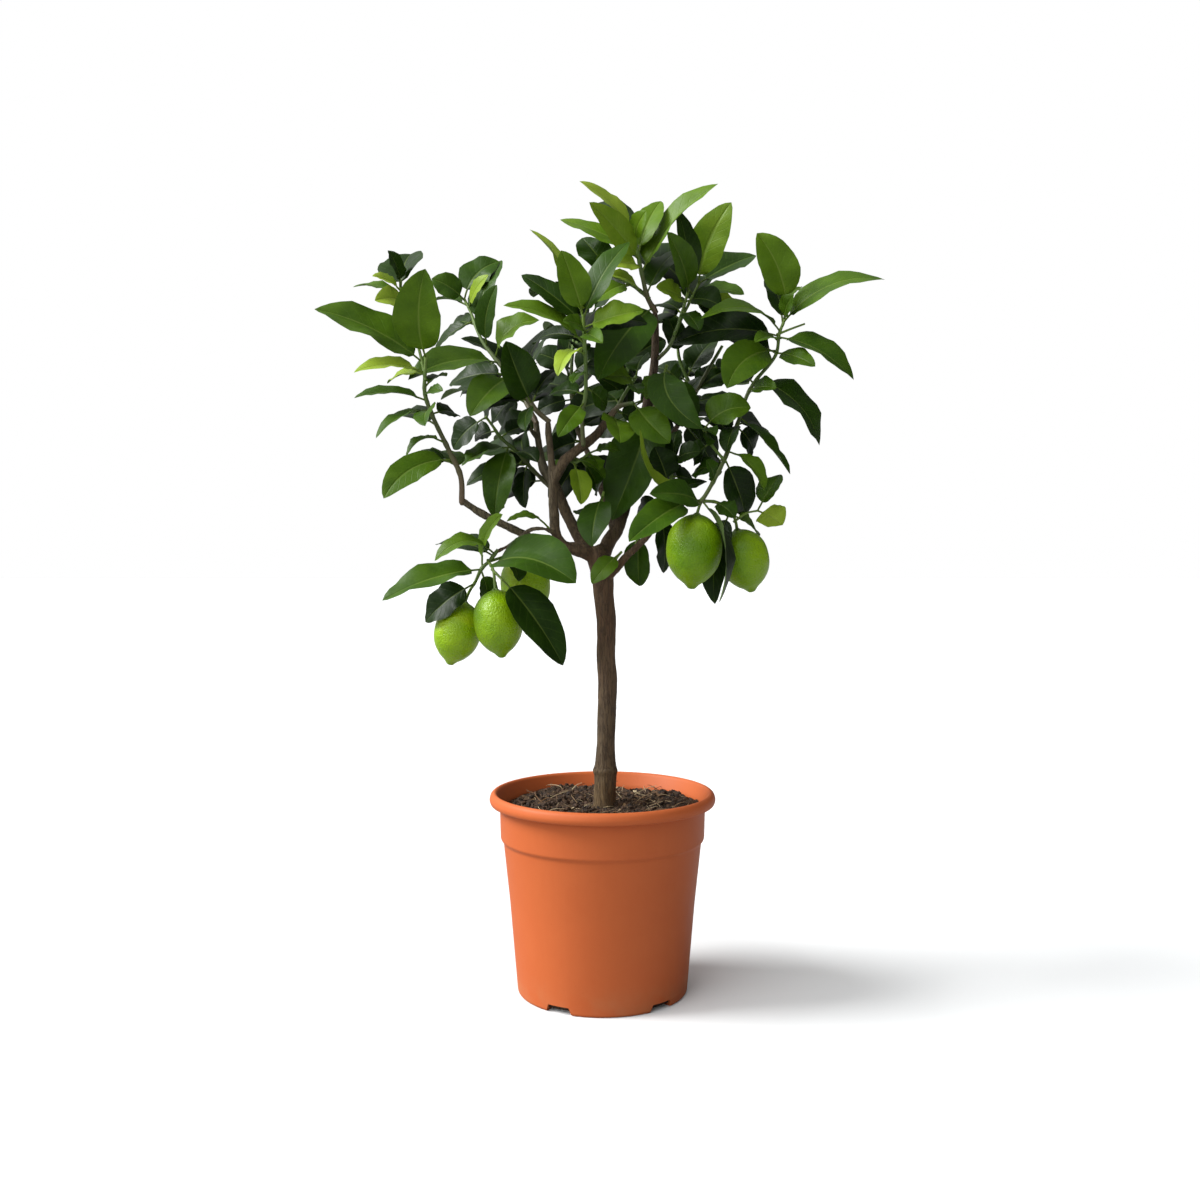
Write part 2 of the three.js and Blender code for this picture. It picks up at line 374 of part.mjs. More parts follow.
// ---------------------------------------------------------------- shoots
// stems: [x, z, depth, diameter]; leaves: [base x, z, tip x, z, depth gained, width, face, arch, sweep]
const SHOOTS = {
  shoot_left_outer: { fill: 2,
    stems: [
      [[-117, 413, -40, 5], [-118, 433, -43.8, 4.4], [-128, 455, -47.8, 4], [-140, 480, -52.1, 3.6],
        [-147, 500, -55, 3.2], [-147, 516, -56.4, 3], [-146, 532, -56.9, 2.4]],
      [[-147, 514, -56.2, 2.8], [-150, 530, -50.7, 2.6], [-157, 557, -47.2, 2.2], [-167, 588, -46, 1.8]],
    ],
    leaves: [
      [-146, 530, -146, 603, -24, 40, 0.95, 0.05, -0.06], [-149, 527, -238, 570, -6, 25, 0.6, 0.05,
      0.04], [-166, 586, -158, 615, 16, 28, 0.7, 0.08],
      [-167, 588, -177, 618, -6, 12, 0.5, 0.1], [-165, 580, -206, 588, 8, 8, 0.25, 0.1], [-165, 584, -190,
      597, -10, 10, 0.4, 0.1],
      [-163, 573, -188, 577, -16, 15, 0.7, 0.15], [-153, 517, -206, 518, -8, 13, 0.4, 0.12], [-151, 516,
      -178, 509, 16, 6, 0.2, 0.1],
      [-147, 494, -206, 497, -4, 11, 0.25, 0.1], [-142, 487, -188, 464, -16, 12, 0.3, 0.12], [-140, 486,
      -147, 474, -30, 15, 0.7, 0.1],
      [-141, 484, -121, 483, 20, 12, 0.6, 0.1], [-131, 459, -163, 449, -12, 9, 0.25, 0.25], [-125, 446,
      -182, 414, -14, 22, 0.75, 0.06, 0.14],
      [-147, 506, -129, 515, 18, 8, 0.4, 0.1], [-147, 499, -132, 503, -16, 7, 0.5, 0.1], [-119, 436, -140,
      452, 26, 14, 0.5, 0.12],
    ],
  },
  shoot_left_inner: { fill: 4,
    stems: [
      [[-45.8, 479, -34, 4.4], [-55, 487, -30.8, 4.2], [-65, 500, -26, 4], [-75, 512, -20.7, 3.8],
        [-85, 525, -14.8, 3.4], [-100, 545, -4.3, 3], [-109, 568, 9.7, 2.4], [-114, 578, 16, 2]],
    ],
    leaves: [
      [-88, 524, -161, 512, -22, 20, 0.5, 0.12], [-107, 560, -140, 530, 14, 8, 0.35, 0.1], [-107, 556,
      -125, 554, 26, 9, 0.5, 0.1],
      [-114, 578, -85, 609, 6, 23, 0.8, 0.08, -0.12], [-114, 576, -141, 595, -4, 18, 0.7, 0.1], [-113, 572,
      -139, 577, 14, 7, 0.2, 0.08],
      [-108, 571, -94, 598, -12, 10, 0.5, 0.1], [-103, 558, -83, 610, 16, 15, 0.7, 0.08], [-94, 540, -87,
      590, -14, 17, 0.8, 0.08, -0.05],
      [-87, 531, -52, 561, -4, 18, 0.45, 0.22], [-57, 493, -80, 544, -12, 32, 0.9, 0.06, -0.05], [-75, 516,
      -110, 482, -34, 30, 0.85, 0.1],
      [-80, 520, -97, 482, 22, 20, 0.7, 0.1], [-66, 501, -84, 497, -14, 9, 0.5, 0.1], [-58, 492, -38, 520,
      16, 13, 0.7, 0.1],
      [-58, 491, -64, 470, -18, 12, 0.7, 0.1], [-78, 517, -127, 508, 16, 15, 0.55, 0.08], [-66, 501, -92,
      474, 4, 15, 0.6, 0.1],
    ],
  },
  shoot_left_twig: { fill: 4,
    stems: [[[-42, 422, 26, 4], [-50, 430, 29.5, 3.8], [-60, 440, 28.6, 3.4], [-70, 452, 22.7, 3],
      [-84, 464, 16.8, 2.8], [-91, 474, 11.9, 2.4], [-97, 482, 8, 2]]],
    leaves: [
      [-76, 455, -117, 441, -10, 14, 0.3, 0.1], [-78, 458, -90, 398, -14, 25, 0.9, 0.08], [-66, 446, -82,
      412, 14, 15, 0.6, 0.12],
      [-62, 443, -64, 406, -12, 16, 0.8, 0.1], [-70, 453, -54, 444, -18, 13, 0.7, 0.1], [-97, 481, -124,
      455, 6, 19, 0.7, 0.1],
      [-84, 465, -60, 474, 12, 12, 0.6, 0.1], [-88, 470, -106, 462, 24, 15, 0.6, 0.1],
    ],
  },
  shoot_centre_left: { fill: 5,
    stems: [[[-16, 461, -37, 3.8], [-17, 484, -42.4, 3.6], [-14, 500, -47.6, 3.2], [-14, 525, -56.7, 3],
      [-15, 545, -63.2, 2.8], [-16, 566, -69, 2.2]]],
    leaves: [
      [-18, 558, -67, 598, 6, 17, 0.7, 0.05], [-17, 541, -82, 573, -8, 14, 0.3, 0.11], [-16, 564, -34, 618,
      -6, 27, 0.95, 0.06],
      [-16, 562, -60, 635, 14, 9, 0.42, 0.08], [-14, 562, 22, 625, 10, 15, 0.7, 0.08], [-14, 555, 34, 569,
      -4, 17, 0.6, 0.1, 0.08],
      [-13, 533, -37, 515, -22, 11, 0.5, 0.2], [-14, 530, -24, 541, 20, 12, 0.7, 0.1], [-15, 545, -57, 541,
      20, 14, 0.6, 0.15],
      [-16, 493, -37, 465, -18, 19, 0.95, 0.06], [-15, 500, -44, 500, 12, 12, 0.5, 0.1], [-14, 518, -25,
      509, -14, 7, 0.4, 0.1],
      [-14, 506, 3, 489, 14, 15, 0.8, 0.1], [-14, 548, 0, 542, -22, 13, 0.8, 0.1], [-15, 550, -33, 560,
      -16, 11, 0.6, 0.15],
    ],
  },
  shoot_centre: { fill: 7,
    stems: [
      [[5.5, 480.5, -25.5, 5], [12, 489, -25, 4.2], [19, 492, -26, 3.6], [26, 493, -29, 3]],
      [[12, 488, -25, 3.6], [18, 500, -21, 3.2], [28, 515, -17, 2.6]],
    ],
    leaves: [
      [7, 482, 14.5, 460, -14, 23, 0.75, 0.1], [26, 493, 56, 460, -14, 28, 0.9, 0.06, 0.06], [26, 513, 0,
      514, -18, 18, 0.8, 0.08],
      [14, 492, 1, 500, 16, 13, 0.6, 0.1], [28, 515, 35, 532, 10, 16, 0.7, 0.1], [22, 507, 30, 500, -20,
      12, 0.7, 0.1],
      [10, 486, 30, 474, 14, 16, 0.7, 0.12],
    ],
  },
  shoot_underleaves: { fill: 3,
    stems: [[[-27.5, 449.5, -23, 3.2], [-24, 444, -27, 2.8], [-17, 447, -28, 2.4], [-10, 452, -26, 2]]],
    leaves: [
      [-27, 446, 2, 430, -6, 11, 0.5, 0.16], [-25, 444, -18, 409, -8, 18, 0.85, 0.08], [-27, 446, -38, 422,
      -8, 11, 0.5, 0.14],
      [-18, 446, -5, 418, 18, 16, 0.7, 0.1], [-10, 452, 15, 453, -2, 9, 0.4, 0.12], [-11, 451, -3, 438,
      -10, 9, 0.6, 0.1],
    ],
  },
  shoot_middle: { fill: 8,
    stems: [[[39.8, 484, 14, 4.2], [45, 492, 1.8, 3.8], [49, 506, -12.3, 3.4], [53, 524, -27, 2.6]]],
    leaves: [
      [53, 524, 83, 472, -20, 30, 0.92, 0.06, 0.2], [50, 517, 36, 496, -16, 18, 0.8, 0.08], [42, 486, 8,
      396, -30, 47, 0.95, 0.05, -0.03],
      [49, 508, 79, 482, 8, 13, 0.5, 0.15], [52, 520, 64, 508, 22, 14, 0.6, 0.1], [44, 490, 64, 478, 24,
      18, 0.7, 0.1],
      [42, 488, 47, 458, 4, 22, 0.8, 0.1],
    ],
  },
  shoot_fork: { fill: 2,
    stems: [[[-9.5, 379, -11, 3], [-7, 388, -14, 2.8], [-3, 402, -16, 2.6], [1, 420, -17, 2]]],
    leaves: [[0, 416, -9, 374, -18, 27, 0.9, 0.1], [-6, 392, -22, 404, 12, 12, 0.6, 0.1]],
  },
  leaf_trunk: { fill: 0, stems: [[[7.6, 357, -14.5, 2.4], [12, 365, -19, 2.2], [16, 370, -21, 1.8]]],
    leaves: [[15, 369, -9, 343, -8, 18, 0.9, 0.08]] },
  shoot_crown_left: { fill: 3,
    stems: [
      [[43, 569, 6, 4.6], [37, 580, -0.8, 4], [33, 596, -7.9, 3.4], [29, 615, -14.7, 2.8], [26, 632, -20, 2]],
      [[37, 580, -0.8, 3.2], [24, 590, 2.7, 2.8], [7, 598, 4.6, 2.2]],
    ],
    leaves: [
      [26, 632, -19, 674, -8, 13, 0.5, 0.08], [30, 610, -11, 657, -16, 22, 0.85, 0.06], [28, 616, -35, 643,
      14, 13, 0.5, 0.04],
      [9, 597, -17, 628, 12, 24, 0.85, 0.1, -0.05], [27, 625, 0, 637, -14, 10, 0.5, 0.1], [29, 614, 48,
      658, 12, 20, 0.8, 0.08],
      [33, 600, 95, 672, -4, 14, 0.42, 0.06, -0.05], [36, 582, 65, 619, 18, 20, 0.7, 0.1], [31, 585, 5,
      598, -18, 10, 0.5, 0.1],
      [31, 604, 7, 606, -14, 12, 0.6, 0.1], [23, 590, -6, 576, -12, 15, 0.7, 0.1], [41, 571, -4, 512, -32,
      32, 0.95, 0.05, 0.03],
      [7, 598, -6, 611, -16, 13, 0.6, 0.1], [27, 625, 36, 650, -12, 12, 0.6, 0.1],
    ],
  },
  shoot_crown_right: { fill: 3,
    stems: [
      [[47.4, 531, 13, 3.6], [55, 539, 10.9, 3.2], [61, 553, 10.9, 3], [66, 568, 13.3, 2.6],
        [71, 586, 17.8, 2]],
      [[60, 551, 10.2, 2.8], [69, 570, 24.1, 2.4], [80, 592, 36, 2]],
    ],
    leaves: [
      [79, 590, 106, 657, -8, 31, 0.95, 0.05, -0.06], [71, 586, 62, 650, 14, 18, 0.8, 0.08], [70, 584, 53,
      633, -10, 18, 0.8, 0.08],
      [80, 591, 126, 614, 16, 20, 0.6, 0.03], [77, 585, 117, 582, -12, 11, 0.4, 0.06], [68, 576, 98, 572,
      -6, 16, 0.5, 0.15],
      [68, 575, 44, 588, -14, 13, 0.6, 0.1], [66, 568, 80, 552, -14, 15, 0.8, 0.1], [65, 566, 48, 574, 14,
      16, 0.5, 0.12],
      [70, 573, 92, 596, 26, 16, 0.6, 0.1], [77, 585, 121, 548, 12, 22, 0.75, 0.06],
    ],
  },
  shoot_right: { fill: 6,
    stems: [
      [[68.4, 410.6, -44, 4.2], [75, 411, -47, 3.8], [82, 412, -49, 3.6], [92, 428, -38.7, 3.4],
        [101, 446, -25.9, 3.4], [108, 464, -15, 3.4], [114, 482, -7.2, 3.2],
        [120, 500, -2.4, 3.2], [128, 513, 0.1, 3], [143, 532, 4.2, 2.8], [146, 550, 9, 2.6], [150, 561, 13,
        2.2], [152, 576, 18, 1.8]],
      [[82, 412, -49, 2.6], [80, 406, -49, 2.4], [78.8, 401.5, -49, 2.8]],
      [[82, 412, -49, 2.8], [95, 411, -39, 2.6], [106, 405, -27, 2.4], [110.5, 396, -18, 2.4],
        [112, 388.5, -13, 2.8]],
      [[101, 446, -25.9, 2.8], [91, 458, -18.7, 2.6], [84, 471, -13.2, 2.2]],
      [[146, 550, 9, 2], [156, 554, 13.1, 1.8], [167, 558, 16.2, 1.6]],
      [[111, 396, -17, 2.2], [120, 402, -14, 1.8], [129, 404, -12, 1.6]],
    ],
    leaves: [
      [152, 573, 127, 632, -6, 31, 0.95, 0.05, 0.07], [148, 558, 136, 597, 16, 17, 0.7, 0.08], [151, 558,
      233, 594, -4, 19, 0.5, 0.17],
      [146, 552, 81, 562, -10, 13, 0.28, 0.2], [145, 548, 58, 541, 14, 22, 0.7, 0.14],
      [144, 536, 103, 505, -24, 33, 0.92, 0.06, 0.12], [146, 547, 208, 512, -10, 19, 0.5, 0.12,
      0.03], [143, 534, 176, 523, -20, 15, 0.75, 0.08],
      [143, 544, 126, 543, -24, 9, 0.5, 0.1], [121, 504, 144, 505, -14, 13, 0.7, 0.1], [128, 512, 180, 458,
      2, 20, 0.5, 0.16],
      [84, 471, 123, 489, 6, 26, 0.75, 0.12, -0.1], [115, 481, 156, 434, -4, 11, 0.35, 0.04], [108, 478,
      103, 452, -16, 15, 0.8, 0.08],
      [110, 474, 125, 454, 10, 22, 0.8, 0.1], [104, 453, 134, 421, -14, 14, 0.5, 0.14], [102, 447, 119,
      400, 6, 28, 0.92, 0.06],
      [92, 428, 86, 446, -8, 11, 0.6, 0.1], [84, 412, 31, 472, -14, 13, 0.35, -0.2, -0.1], [81, 411, 39,
      418, -10, 20, 0.8, 0.1],
      [70, 411, 22, 378, -12, 21, 0.85, 0.06], [83, 412, 97, 327, -14, 14, 0.25, 0.14], [107, 404, 94, 326,
      -16, 24, 0.85, 0.08, 0.04],
      [109, 400, 129, 383, 14, 7, 0.4, 0.08], [92, 411, 110, 398, -6, 13, 0.6, 0.1], [84, 470, 94, 466,
      -16, 8, 0.6, 0.1],
      [85, 469, 87, 458, -14, 8, 0.6, 0.1], [95, 440, 76, 436, 14, 16, 0.7, 0.1], [89, 460, 76, 444, 12,
      16, 0.7, 0.1],
      [132, 404, 147, 434, 6, 17, 0.7, 0.1, 0.08], [129, 404, 150, 392, -8, 25, 0.8, 0.06],
      [113, 482, 96, 496, 14, 18, 0.7, 0.1], [153, 575, 164, 588, 8, 7, 0.5, 0.1], [150, 562, 158, 582, 12,
      13, 0.7, 0.1],
    ],
  },
  leaf_right_low: { fill: 0, stems: [[[28, 377.5, -19, 2.2], [30, 383, -16, 2], [31.5, 388, -14, 1.8]]],
    leaves: [[31, 387, 31, 341, 4, 22, 0.9, 0.06]] },
  shoot_left_fruit: { fill: 1,
    stems: [
      [[-88.6, 369.6, -46, 3], [-95, 361.5, -47, 3], [-101, 355.5, -48, 3], [-106, 345, -44, 2.6],
        [-111, 337, -39, 2.4], [-115, 328, -36, 2.8]],
      [[-95, 361.5, -47, 2.4], [-91, 354, -55, 2.4], [-89.5, 338.5, -60, 3]],
      [[-94, 362, -47, 2.6], [-82, 366, -34, 2.4], [-72, 372, -20, 2.4], [-66.5, 369, -12.4, 2.8]],
      [[-91, 354, -55, 2.4], [-83, 346, -64, 2]],
    ],
    leaves: [
      [-93, 358, -22, 343.5, -26, 33, 0.6, 0.17], [-82, 346, -33, 274.5, -6, 34, 0.9, 0.06, -0.01], [-101,
      357, -83, 401, -10, 8, 0.35, 0.08, -0.15],
      [-90, 368, -140, 362, -10, 13, 0.4, 0.28], [-101, 355, -184, 329, -14, 21, 0.6, 0.07], [-107, 343,
      -148, 311, 14, 25, 0.85, 0.1],
      [-100, 354, -97, 328, 8, 15, 0.8, 0.1], [-80, 367, -70, 345, 16, 16, 0.7, 0.1],
    ],
  },
  leaf_arch: { fill: 0, stems: [[[-44, 388.4, -22.5, 1.8], [-46, 391, -23, 1.6]]],
    leaves: [[-45.6, 390.5, -80, 395, -6, 8, 0.35, 0.22]] },
  shoot_low_right: { fill: 5,
    stems: [[[46, 398.5, -31, 3.4], [50, 412, -20, 3.2], [56, 428, -12, 2.8], [60, 446, -8, 2.4]]],
    leaves: [
      [55, 425, 43, 457, 8, 25, 0.9, 0.06], [60, 446, 82, 453, -10, 16, 0.7, 0.1], [57, 432, 76, 428, 10,
      18, 0.7, 0.1],
      [48, 404, 51, 352, -2, 15, 0.75, 0.06], [60, 446, 62, 470, 8, 18, 0.8, 0.1],
    ],
  },
  shoot_back_centre: { fill: 5,
    stems: [[[31.5, 464, 23.2, 4], [28, 480, 40, 3.6], [22, 502, 52, 3.2], [18, 530, 58, 2.6],
    [20, 558, 58, 2.2]]],
    leaves: [
      [27, 484, -4, 466, 6, 22, 0.8, 0.1], [25, 492, 64, 500, 4, 22, 0.8, 0.1], [20, 512, -14, 524, 6, 22,
      0.8, 0.1],
      [19, 524, 52, 545, 8, 20, 0.8, 0.1], [20, 545, -8, 566, 6, 20, 0.7, 0.1], [23, 500, 8, 536, -10, 18,
      0.8, 0.1],
      [31, 466, 60, 430, 6, 24, 0.85, 0.1], [31, 466, 12, 432, 8, 22, 0.85, 0.1],
    ],
  },
  shoot_back_outer: { fill: 7,
    stems: [[[-55.5, 478, 46.6, 4.4], [-66, 498, 65.1, 3.6], [-84, 525, 86.6, 2.6]]], leaves: [] },
  shoot_back_left: { fill: 8,
    stems: [[[-10.5, 448, 71.6, 4.4], [-22, 476, 87.1, 3.8], [-26, 510, 98.7, 3.2],
    [-24, 545, 104.3, 2.4]]],
    leaves: [[-12, 452, -42, 408, 4, 25, 0.85, 0.1], [-12, 453, 12, 412, 4, 24, 0.85, 0.1],
    [-16, 462, -46, 450, 6, 22, 0.85, 0.1], [-24, 496, -54, 486, 4, 20, 0.8, 0.1],
    [-25, 516, 2, 534, 4, 20, 0.8, 0.1], [-25, 520, -56, 534, 4, 20, 0.8, 0.1]] },
  shoot_back_right: { fill: 6,
    stems: [[[62.8, 475.4, 71.5, 4], [76, 500, 85.4, 3.6], [92, 528, 93.3, 3], [99, 540, 94.8, 2.4]],
      [[76, 500, 85.4, 3], [64, 528, 87.3, 2.6], [62, 544, 87.7, 2.2]]],
    leaves: [
      [76, 500, 104, 520, 6, 22, 0.8, 0.1], [70, 514, 94, 546, 6, 22, 0.8, 0.1], [64, 530, 52, 566, -8, 18,
      0.8, 0.1], [72, 508, 44, 522, 4, 20, 0.7, 0.1],
      [64, 478, 92, 440, 6, 25, 0.85, 0.1], [65, 480, 50, 440, 6, 22, 0.85, 0.1],
    ],
  },
};

// ---------------------------------------------------------------- growing the leaves where there is room
// for them
// What the blades already cover, seen from the front: for each small square the depth of the nearest blade.
const VEIL = { x0: -250, z0: 250, step: 2, cols: 250, rows: 220 };
const picture = (p) => {
  const k = (p[1] - EYE[1]) / -EYE[1];
  return [EYE[0] + (p[0] - EYE[0]) / k, EYE[2] + (p[2] - EYE[2]) / k, p[1]];
};
const cover = (veil, corners) => {
  const [a, b, c] = corners.map(picture);
  const area = (b[0] - a[0]) * (c[1] - a[1]) - (c[0] - a[0]) * (b[1] - a[1]);
  if (Math.abs(area) < 1e-6) return;
  const col = (x) => Math.floor((x - VEIL.x0) / VEIL.step), row = (z) => Math.floor((z - VEIL.z0) / VEIL.step);
  const span = (axis, cell, most) => {
    const cells = [a, b, c].map((q) => cell(q[axis]));
    return [Math.max(0, Math.min(...cells)), Math.min(most - 1, Math.max(...cells))];
  };
  const [left, right] = span(0, col, VEIL.cols), [low, high] = span(1, row, VEIL.rows);
  for (let i = left; i <= right; i++) {
    for (let j = low; j <= high; j++) {
      const x = VEIL.x0 + (i + 0.5) * VEIL.step, z = VEIL.z0 + (j + 0.5) * VEIL.step;
      const v = ((x - a[0]) * (c[1] - a[1]) - (c[0] - a[0]) * (z - a[1])) / area;
      const w = ((b[0] - a[0]) * (z - a[1]) - (x - a[0]) * (b[1] - a[1])) / area;
      if (v < 0 || w < 0 || v + w > 1) continue;
      const at = j * VEIL.cols + i, depth = a[2] + v * (b[2] - a[2]) + w * (c[2] - a[2]);
      veil[at] = Math.min(veil[at], depth);
    }
  }
};
const hidden = (veil, p) => {
  const [x, z, y] = picture(p);
  const i = Math.floor((x - VEIL.x0) / VEIL.step), j = Math.floor((z - VEIL.z0) / VEIL.step);
  for (const [di, dj] of [[0, 0], [3, 0], [-3, 0], [0, 3], [0, -3]]) {
    const c = i + di, r = j + dj;
    if (c >= 0 && r >= 0 && c < VEIL.cols && r < VEIL.rows && y > veil[r * VEIL.cols + c] + 1) return true;
  }
  return false;
};

const nearestOnStems = (stems, x, z) => {
  let best = [1e9, null];
  for (const path of stems) {
    for (let i = 0; i + 1 < path.length; i++) {
      const [a, b] = [path[i], path[i + 1]], dx = b[0] - a[0], dz = b[1] - a[1];
      const t = clamp(((x - a[0]) * dx + (z - a[1]) * dz) / (dx * dx + dz * dz), 0, 1);
      const off = Math.hypot(x - a[0] - dx * t, z - a[1] - dz * t);
      if (off < best[0] - 1e-9) best = [off, [a[0] + dx * t, a[1] + dz * t, a[2] + (b[2] - a[2]) * t]];
    }
  }
  return best[1];
};

const FILL = { step: 6.5, turn: 2.39996, lengths: [80, 64, 50], shown: 0.12 };
const grow = () => {
  const woodLimbs = [TRUNK, ...Object.values(BRANCHES)].map(limb);
  const stems = Object.fromEntries(Object.entries(SHOOTS).map(([name, s]) => [name, s.stems.map(limb)]));
  const placed = []; // every leaf that has found room, with the name of the shoot that carries it
  const clear = (name, skin) => {
    for (const path of woodLimbs) for (let i = 0; i + 1 < path.length; i++) if (!limbClear(skin,
      [path[i], path[i + 1]], false)) return false;
    for (const [owner, paths] of Object.entries(stems)) {
      for (const path of paths) for (let i = 0; i + 1 < path.length; i++) if (!limbClear(skin,
        [path[i], path[i + 1]], owner === name)) return false;
    }
    if (!LEMONS.every((row) => fruitClear(skin, row))) return false;
    return placed.every((other) => leavesClear(skin, other.skin, other.name === name));
  };
  const veil = new Float64Array(VEIL.cols * VEIL.rows).fill(1e9);
  Object.entries(SHOOTS).forEach(([name, shoot], index) => {
    const random = seeded(100 + index);
    for (const row of shoot.leaves) {
      const [bx, bz, tx, tz, gain, width, face, arch, sweep = 0] = row;
      const [x, z, y] = nearestOnStems(shoot.stems, bx, bz), k = (y + gain * SPREAD - EYE[1]) / -EYE[1];
      const own = seeded(Math.floor(random() * 1e9));
      for (const shift of [0, 12, -12, 24, -24, 38, -38, 52]) {
        const from = sight(x, z, y), to = sight(tx, tz, y + gain * SPREAD + shift);
        const leaf = makeLeaf(from, to, Math.max((width * k) / Math.max(face, 0.55),
          0.37 * size(sub(to, from))), face, arch, sweep, seeded(Math.floor(own() * 1e9)));
        const skin = skeleton(leaf);
        if (clear(name, skin)) {
          placed.push({ name, leaf, skin });
          for (const t of skin.triangles) cover(veil, t);
          break;
        }
      }
    }
  });
  // Leaves that the front view doesn't show: they sit on their stems by a spiral, and behind those it does
  // show.
  Object.entries(SHOOTS).forEach(([name, shoot], index) => {
    const random = seeded(500 + index);
    let count = 0;
    for (const path of stems[name]) {
      let carried = 4, angle = 6.283 * random();
      for (let i = 0; i + 1 < path.length; i++) {
        const run = size(sub(path[i + 1], path[i])), dir = unit(sub(path[i + 1], path[i]));
        const e1 = unit(cross(dir, [0.3, 0.1, 1])), e2 = cross(dir, e1);
        for (; carried < run; carried += FILL.step) {
          angle += FILL.turn;
          const base = mix(path[i].slice(0, 3), path[i + 1].slice(0, 3), carried / run);
          for (const length of FILL.lengths) {
            if (count >= shoot.fill) break;
            const rise = 0.15 + 0.55 * random(), out = add(mul(e1, Math.cos(angle)),
              mul(e2, Math.sin(angle)));
            const to = unit(add(add(out, mul(dir, rise)), [0, 0.35, -0.1 * random()]));
            const reach = length * (0.85 + 0.3 * random());
            const leaf = makeLeaf(base, add(base, mul(to, reach)), reach * (0.38 + 0.08 * random()),
              0.3 + 0.5 * random(), 0.08 + 0.1 * random(), 0, seeded(Math.floor(random() * 1e9)));
            const skin = skeleton(leaf);
            if (skin.points.filter((p) => !hidden(veil, p)).length <= skin.points.length * FILL.shown &&
              clear(name, skin)) {
              placed.push({ name, leaf, skin });
              count += 1;
              break;
            }
          }
        }
        carried -= run;
      }
    }
  });
  return { placed, stems };
};

// ---------------------------------------------------------------- assembly
const toMesh = (name, body, colour) => {
  const { vertProperties, triVerts, numProp } = body.getMesh();
  const position = new Float32Array((vertProperties.length / numProp) * 3);
  for (let i = 0; i < position.length / 3; i++) position.set(vertProperties.slice(i * numProp,
    i * numProp + 3), i * 3);
  let geometry = new THREE.BufferGeometry();
  geometry.setAttribute('position', new THREE.BufferAttribute(position, 3));
  geometry.setIndex(Array.from(triVerts));
  geometry = mergeVertices(geometry, 1e-4);
  geometry.computeVertexNormals();
  const mesh = new THREE.Mesh(geometry,
    new THREE.MeshStandardMaterial({ color: colour, roughness: 0.6, flatShading: true }));
  mesh.name = name;
  return mesh;
};
const largest = (body) => body.decompose().sort((a, b) => b.volume() - a.volume())[0];

const tree = () => {
  const group = new THREE.Group();
  group.name = 'potted_lemon_tree';
  const hole = tube([[1, 0, 107.5, 20.6], [1.3, 0, 175, 20.6]], 12);
  group.add(toMesh('pot', pot(), 0xcd683e), toMesh('soil', soil(hole), 0x3a2a20),
    toMesh('trunk', wood().simplify(0.06), 0x6a5444));
  const keepOut = wood(GAP);
  for (const row of LEMONS) group.add(toMesh(row[0], lemon(row), 0x9aba2c));
  const { placed, stems } = grow();
  for (const [name, paths] of Object.entries(stems)) {
    const parts = [...paths.map((path) => tube(path, 5)),
      ...placed.filter((p) => p.name === name).map((p) => leafSolid(p.leaf))];
    const whole = parts.reduce((a, b) => a.add(b)).subtract(keepOut);
    group.add(toMesh(name, largest(whole).simplify(0.06), 0x4c7a2c));
  }
  return group;
};

export default tree();
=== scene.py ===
"""Looks of the potted lemon tree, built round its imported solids: metres, +Z up, the front towards -Y.

The sizes in the tables are millimetres, as in the part's own source, and become metres where a mesh is made.
"""

import logging
import math
from collections.abc import Callable, Iterable
from dataclasses import dataclass, field
from enum import Enum
from typing import Any

import bmesh
import bpy
import numpy as np
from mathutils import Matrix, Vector


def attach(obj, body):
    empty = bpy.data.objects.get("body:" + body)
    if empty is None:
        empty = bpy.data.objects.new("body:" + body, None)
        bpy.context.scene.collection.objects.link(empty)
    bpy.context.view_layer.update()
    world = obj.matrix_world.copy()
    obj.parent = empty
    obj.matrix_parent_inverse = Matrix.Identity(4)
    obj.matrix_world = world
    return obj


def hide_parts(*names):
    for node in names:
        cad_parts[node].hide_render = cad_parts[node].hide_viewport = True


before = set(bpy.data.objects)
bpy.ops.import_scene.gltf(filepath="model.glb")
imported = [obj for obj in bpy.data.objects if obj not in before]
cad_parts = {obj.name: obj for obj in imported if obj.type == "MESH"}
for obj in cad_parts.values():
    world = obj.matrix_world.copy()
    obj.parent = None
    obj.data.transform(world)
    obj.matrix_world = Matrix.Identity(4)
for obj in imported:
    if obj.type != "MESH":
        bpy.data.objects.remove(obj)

LOG = logging.getLogger("lemon_tree")
MM = 0.001
Array = np.ndarray
Points = tuple[tuple[float, ...], ...]


